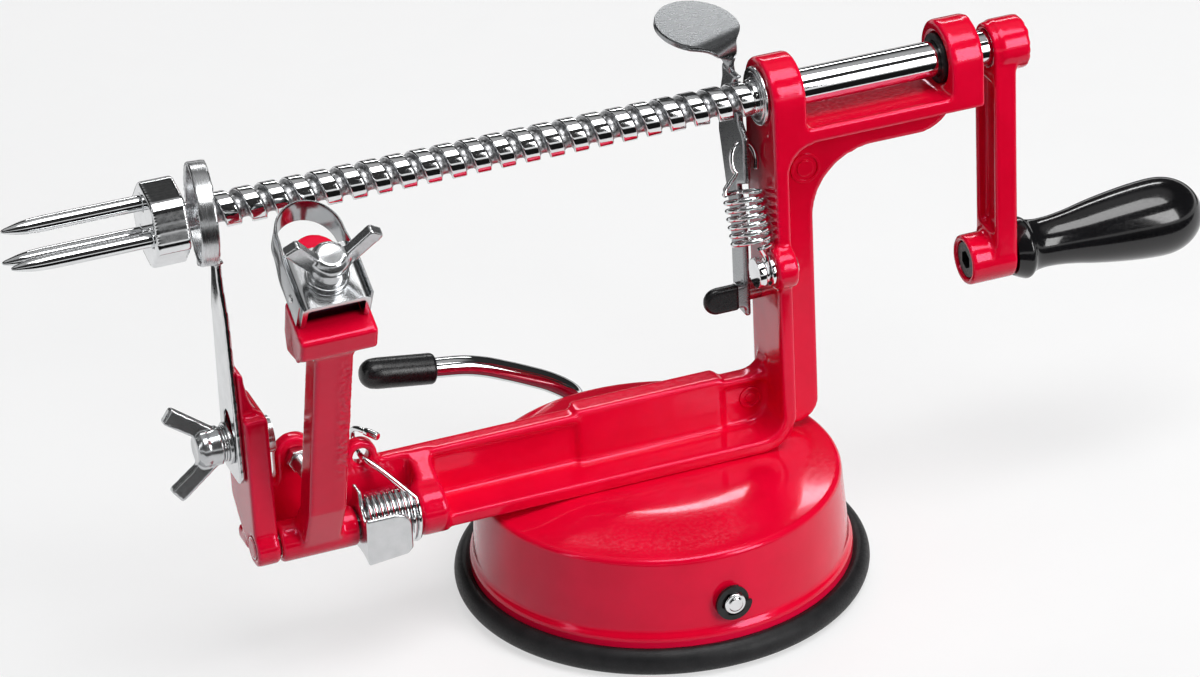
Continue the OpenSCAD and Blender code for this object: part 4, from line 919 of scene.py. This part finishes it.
world = bpy.data.worlds.new("studio")
scene.world = world
world.use_nodes = True
tree = world.node_tree
tree.nodes.clear()
place = tree.nodes.new("ShaderNodeTexCoord")
parts = tree.nodes.new("ShaderNodeSeparateXYZ")
tree.links.new(place.outputs["Generated"], parts.inputs["Vector"])
shown = tree.nodes.new("ShaderNodeBackground")
heights = tree.nodes.new("ShaderNodeValToRGB")
heights.color_ramp.interpolation = "EASE"
for at, level in SKY:
    stop = heights.color_ramp.elements.new(at)
    stop.color = (level, level, level, 1)
heights.color_ramp.elements.remove(heights.color_ramp.elements[0])
heights.color_ramp.elements.remove(heights.color_ramp.elements[-1])
tree.links.new(parts.outputs["Z"], heights.inputs["Fac"])
tree.links.new(heights.outputs["Color"], shown.inputs["Color"])
lit = tree.nodes.new("ShaderNodeBackground")
lit.inputs["Color"].default_value = (0.96, 0.97, 1, 1)
lit.inputs["Strength"].default_value = 0.2
either = tree.nodes.new("ShaderNodeMixShader")
tree.links.new(seen_directly(tree), either.inputs["Fac"])
tree.links.new(lit.outputs["Background"], either.inputs[1])
tree.links.new(shown.outputs["Background"], either.inputs[2])
tree.links.new(either.outputs["Shader"], tree.nodes.new("ShaderNodeOutputWorld").inputs["Surface"])

# Floor and black cards
paper = bpy.data.materials.new("studio_paper")
paper.use_nodes = True
tree = paper.node_tree
tree.nodes.clear()
shown = seen_directly(tree)
matt = tree.nodes.new("ShaderNodeBsdfDiffuse")
pale = mix(tree, noise_of(tree, 40, 3), (0.84, 0.84, 0.84), (0.88, 0.88, 0.88))
tree.links.new(mix(tree, shown, (0.3, 0.3, 0.3), pale), matt.inputs["Color"])
glow = tree.nodes.new("ShaderNodeEmission")
half = tree.nodes.new("ShaderNodeMath")
half.operation = "MULTIPLY"
half.inputs[1].default_value = FLOOR_GLOW
tree.links.new(shown, half.inputs[0])
either = tree.nodes.new("ShaderNodeMixShader")
tree.links.new(half.outputs["Value"], either.inputs["Fac"])
tree.links.new(matt.outputs["BSDF"], either.inputs[1])
tree.links.new(glow.outputs["Emission"], either.inputs[2])
tree.links.new(either.outputs["Shader"], tree.nodes.new("ShaderNodeOutputMaterial").inputs["Surface"])
mesh = bpy.data.meshes.new("floor")
mesh.from_pydata([(-8, -8, 0), (8, -8, 0), (8, 8, 0), (-8, 8, 0)], [], [(0, 1, 2, 3)])
mesh.materials.append(paper)
floor = bpy.data.objects.new("floor", mesh)
floor.location.z = -0.0002
scene.collection.objects.link(floor)

black = bpy.data.materials.new("studio_card")
black.use_nodes = True
tree = black.node_tree
cloth = tree.nodes["Principled BSDF"]
dim = mix(tree, noise_of(tree, 300, 3), (0.006, 0.006, 0.006), (0.01, 0.01, 0.01))
tree.links.new(dim, cloth.inputs["Base Color"])
cloth.inputs["Specular IOR Level"].default_value = 0


def card(name, low, high, z=0.001):
    """Black card on the floor that only shows in what mirrors it."""
    verts = [(low[0], low[1], z), (high[0], low[1], z), (high[0], high[1], z), (low[0], high[1], z)]
    mesh = bpy.data.meshes.new(name)
    mesh.from_pydata(verts, [], [(0, 1, 2, 3)])
    mesh.materials.append(black)
    made = bpy.data.objects.new(name, mesh)
    made.visible_camera = False
    made.visible_diffuse = False
    made.visible_shadow = False
    scene.collection.objects.link(made)


card("front_card", (-1.2, -1.5), (1.2, -0.13))
card("back_card", (-0.15, 0.19), (1.2, 1.5))


# Lamps and camera
def softbox(name, at, width, height, power, target=(0, 0, 0.07)):
    light = bpy.data.lights.new(name, "AREA")
    light.shape = "RECTANGLE"
    light.size = width
    light.size_y = height
    light.energy = power
    made = bpy.data.objects.new(name, light)
    made.location = at
    made.rotation_euler = (Vector(target) - Vector(at)).to_track_quat("-Z", "Y").to_euler()
    made.visible_camera = False
    scene.collection.objects.link(made)


softbox("key", (0.2, -0.52, 1.55), width=1.1, height=0.8, power=18)
softbox("front", (0.75, -1.25, 0.6), width=0.5, height=0.8, power=11)
softbox("back_strip", (0.44, 1.22, 0.97), width=0.9, height=0.12, power=3.5)
softbox("left_strip", (-1.5, -0.35, 0.75), width=0.18, height=1.2, power=2)

camera = bpy.data.cameras.new("camera")
camera.lens = 150
camera.sensor_width = 36
camera.sensor_fit = "HORIZONTAL"
camera.clip_end = 60
view = bpy.data.objects.new("camera", camera)
right = Vector((0.9300, -0.3646, -0.0455))
up = Vector((0.2097, 0.4250, 0.8805))
back = right.cross(up).normalized()
looked_at, distance = Vector((-0.01343, 0, 0.06902)), 1.21594
eye = looked_at + back * distance
view.matrix_world = Matrix.Translation(eye) @ Matrix((right, up, back)).transposed().to_4x4()
scene.collection.objects.link(view)
scene.camera = view
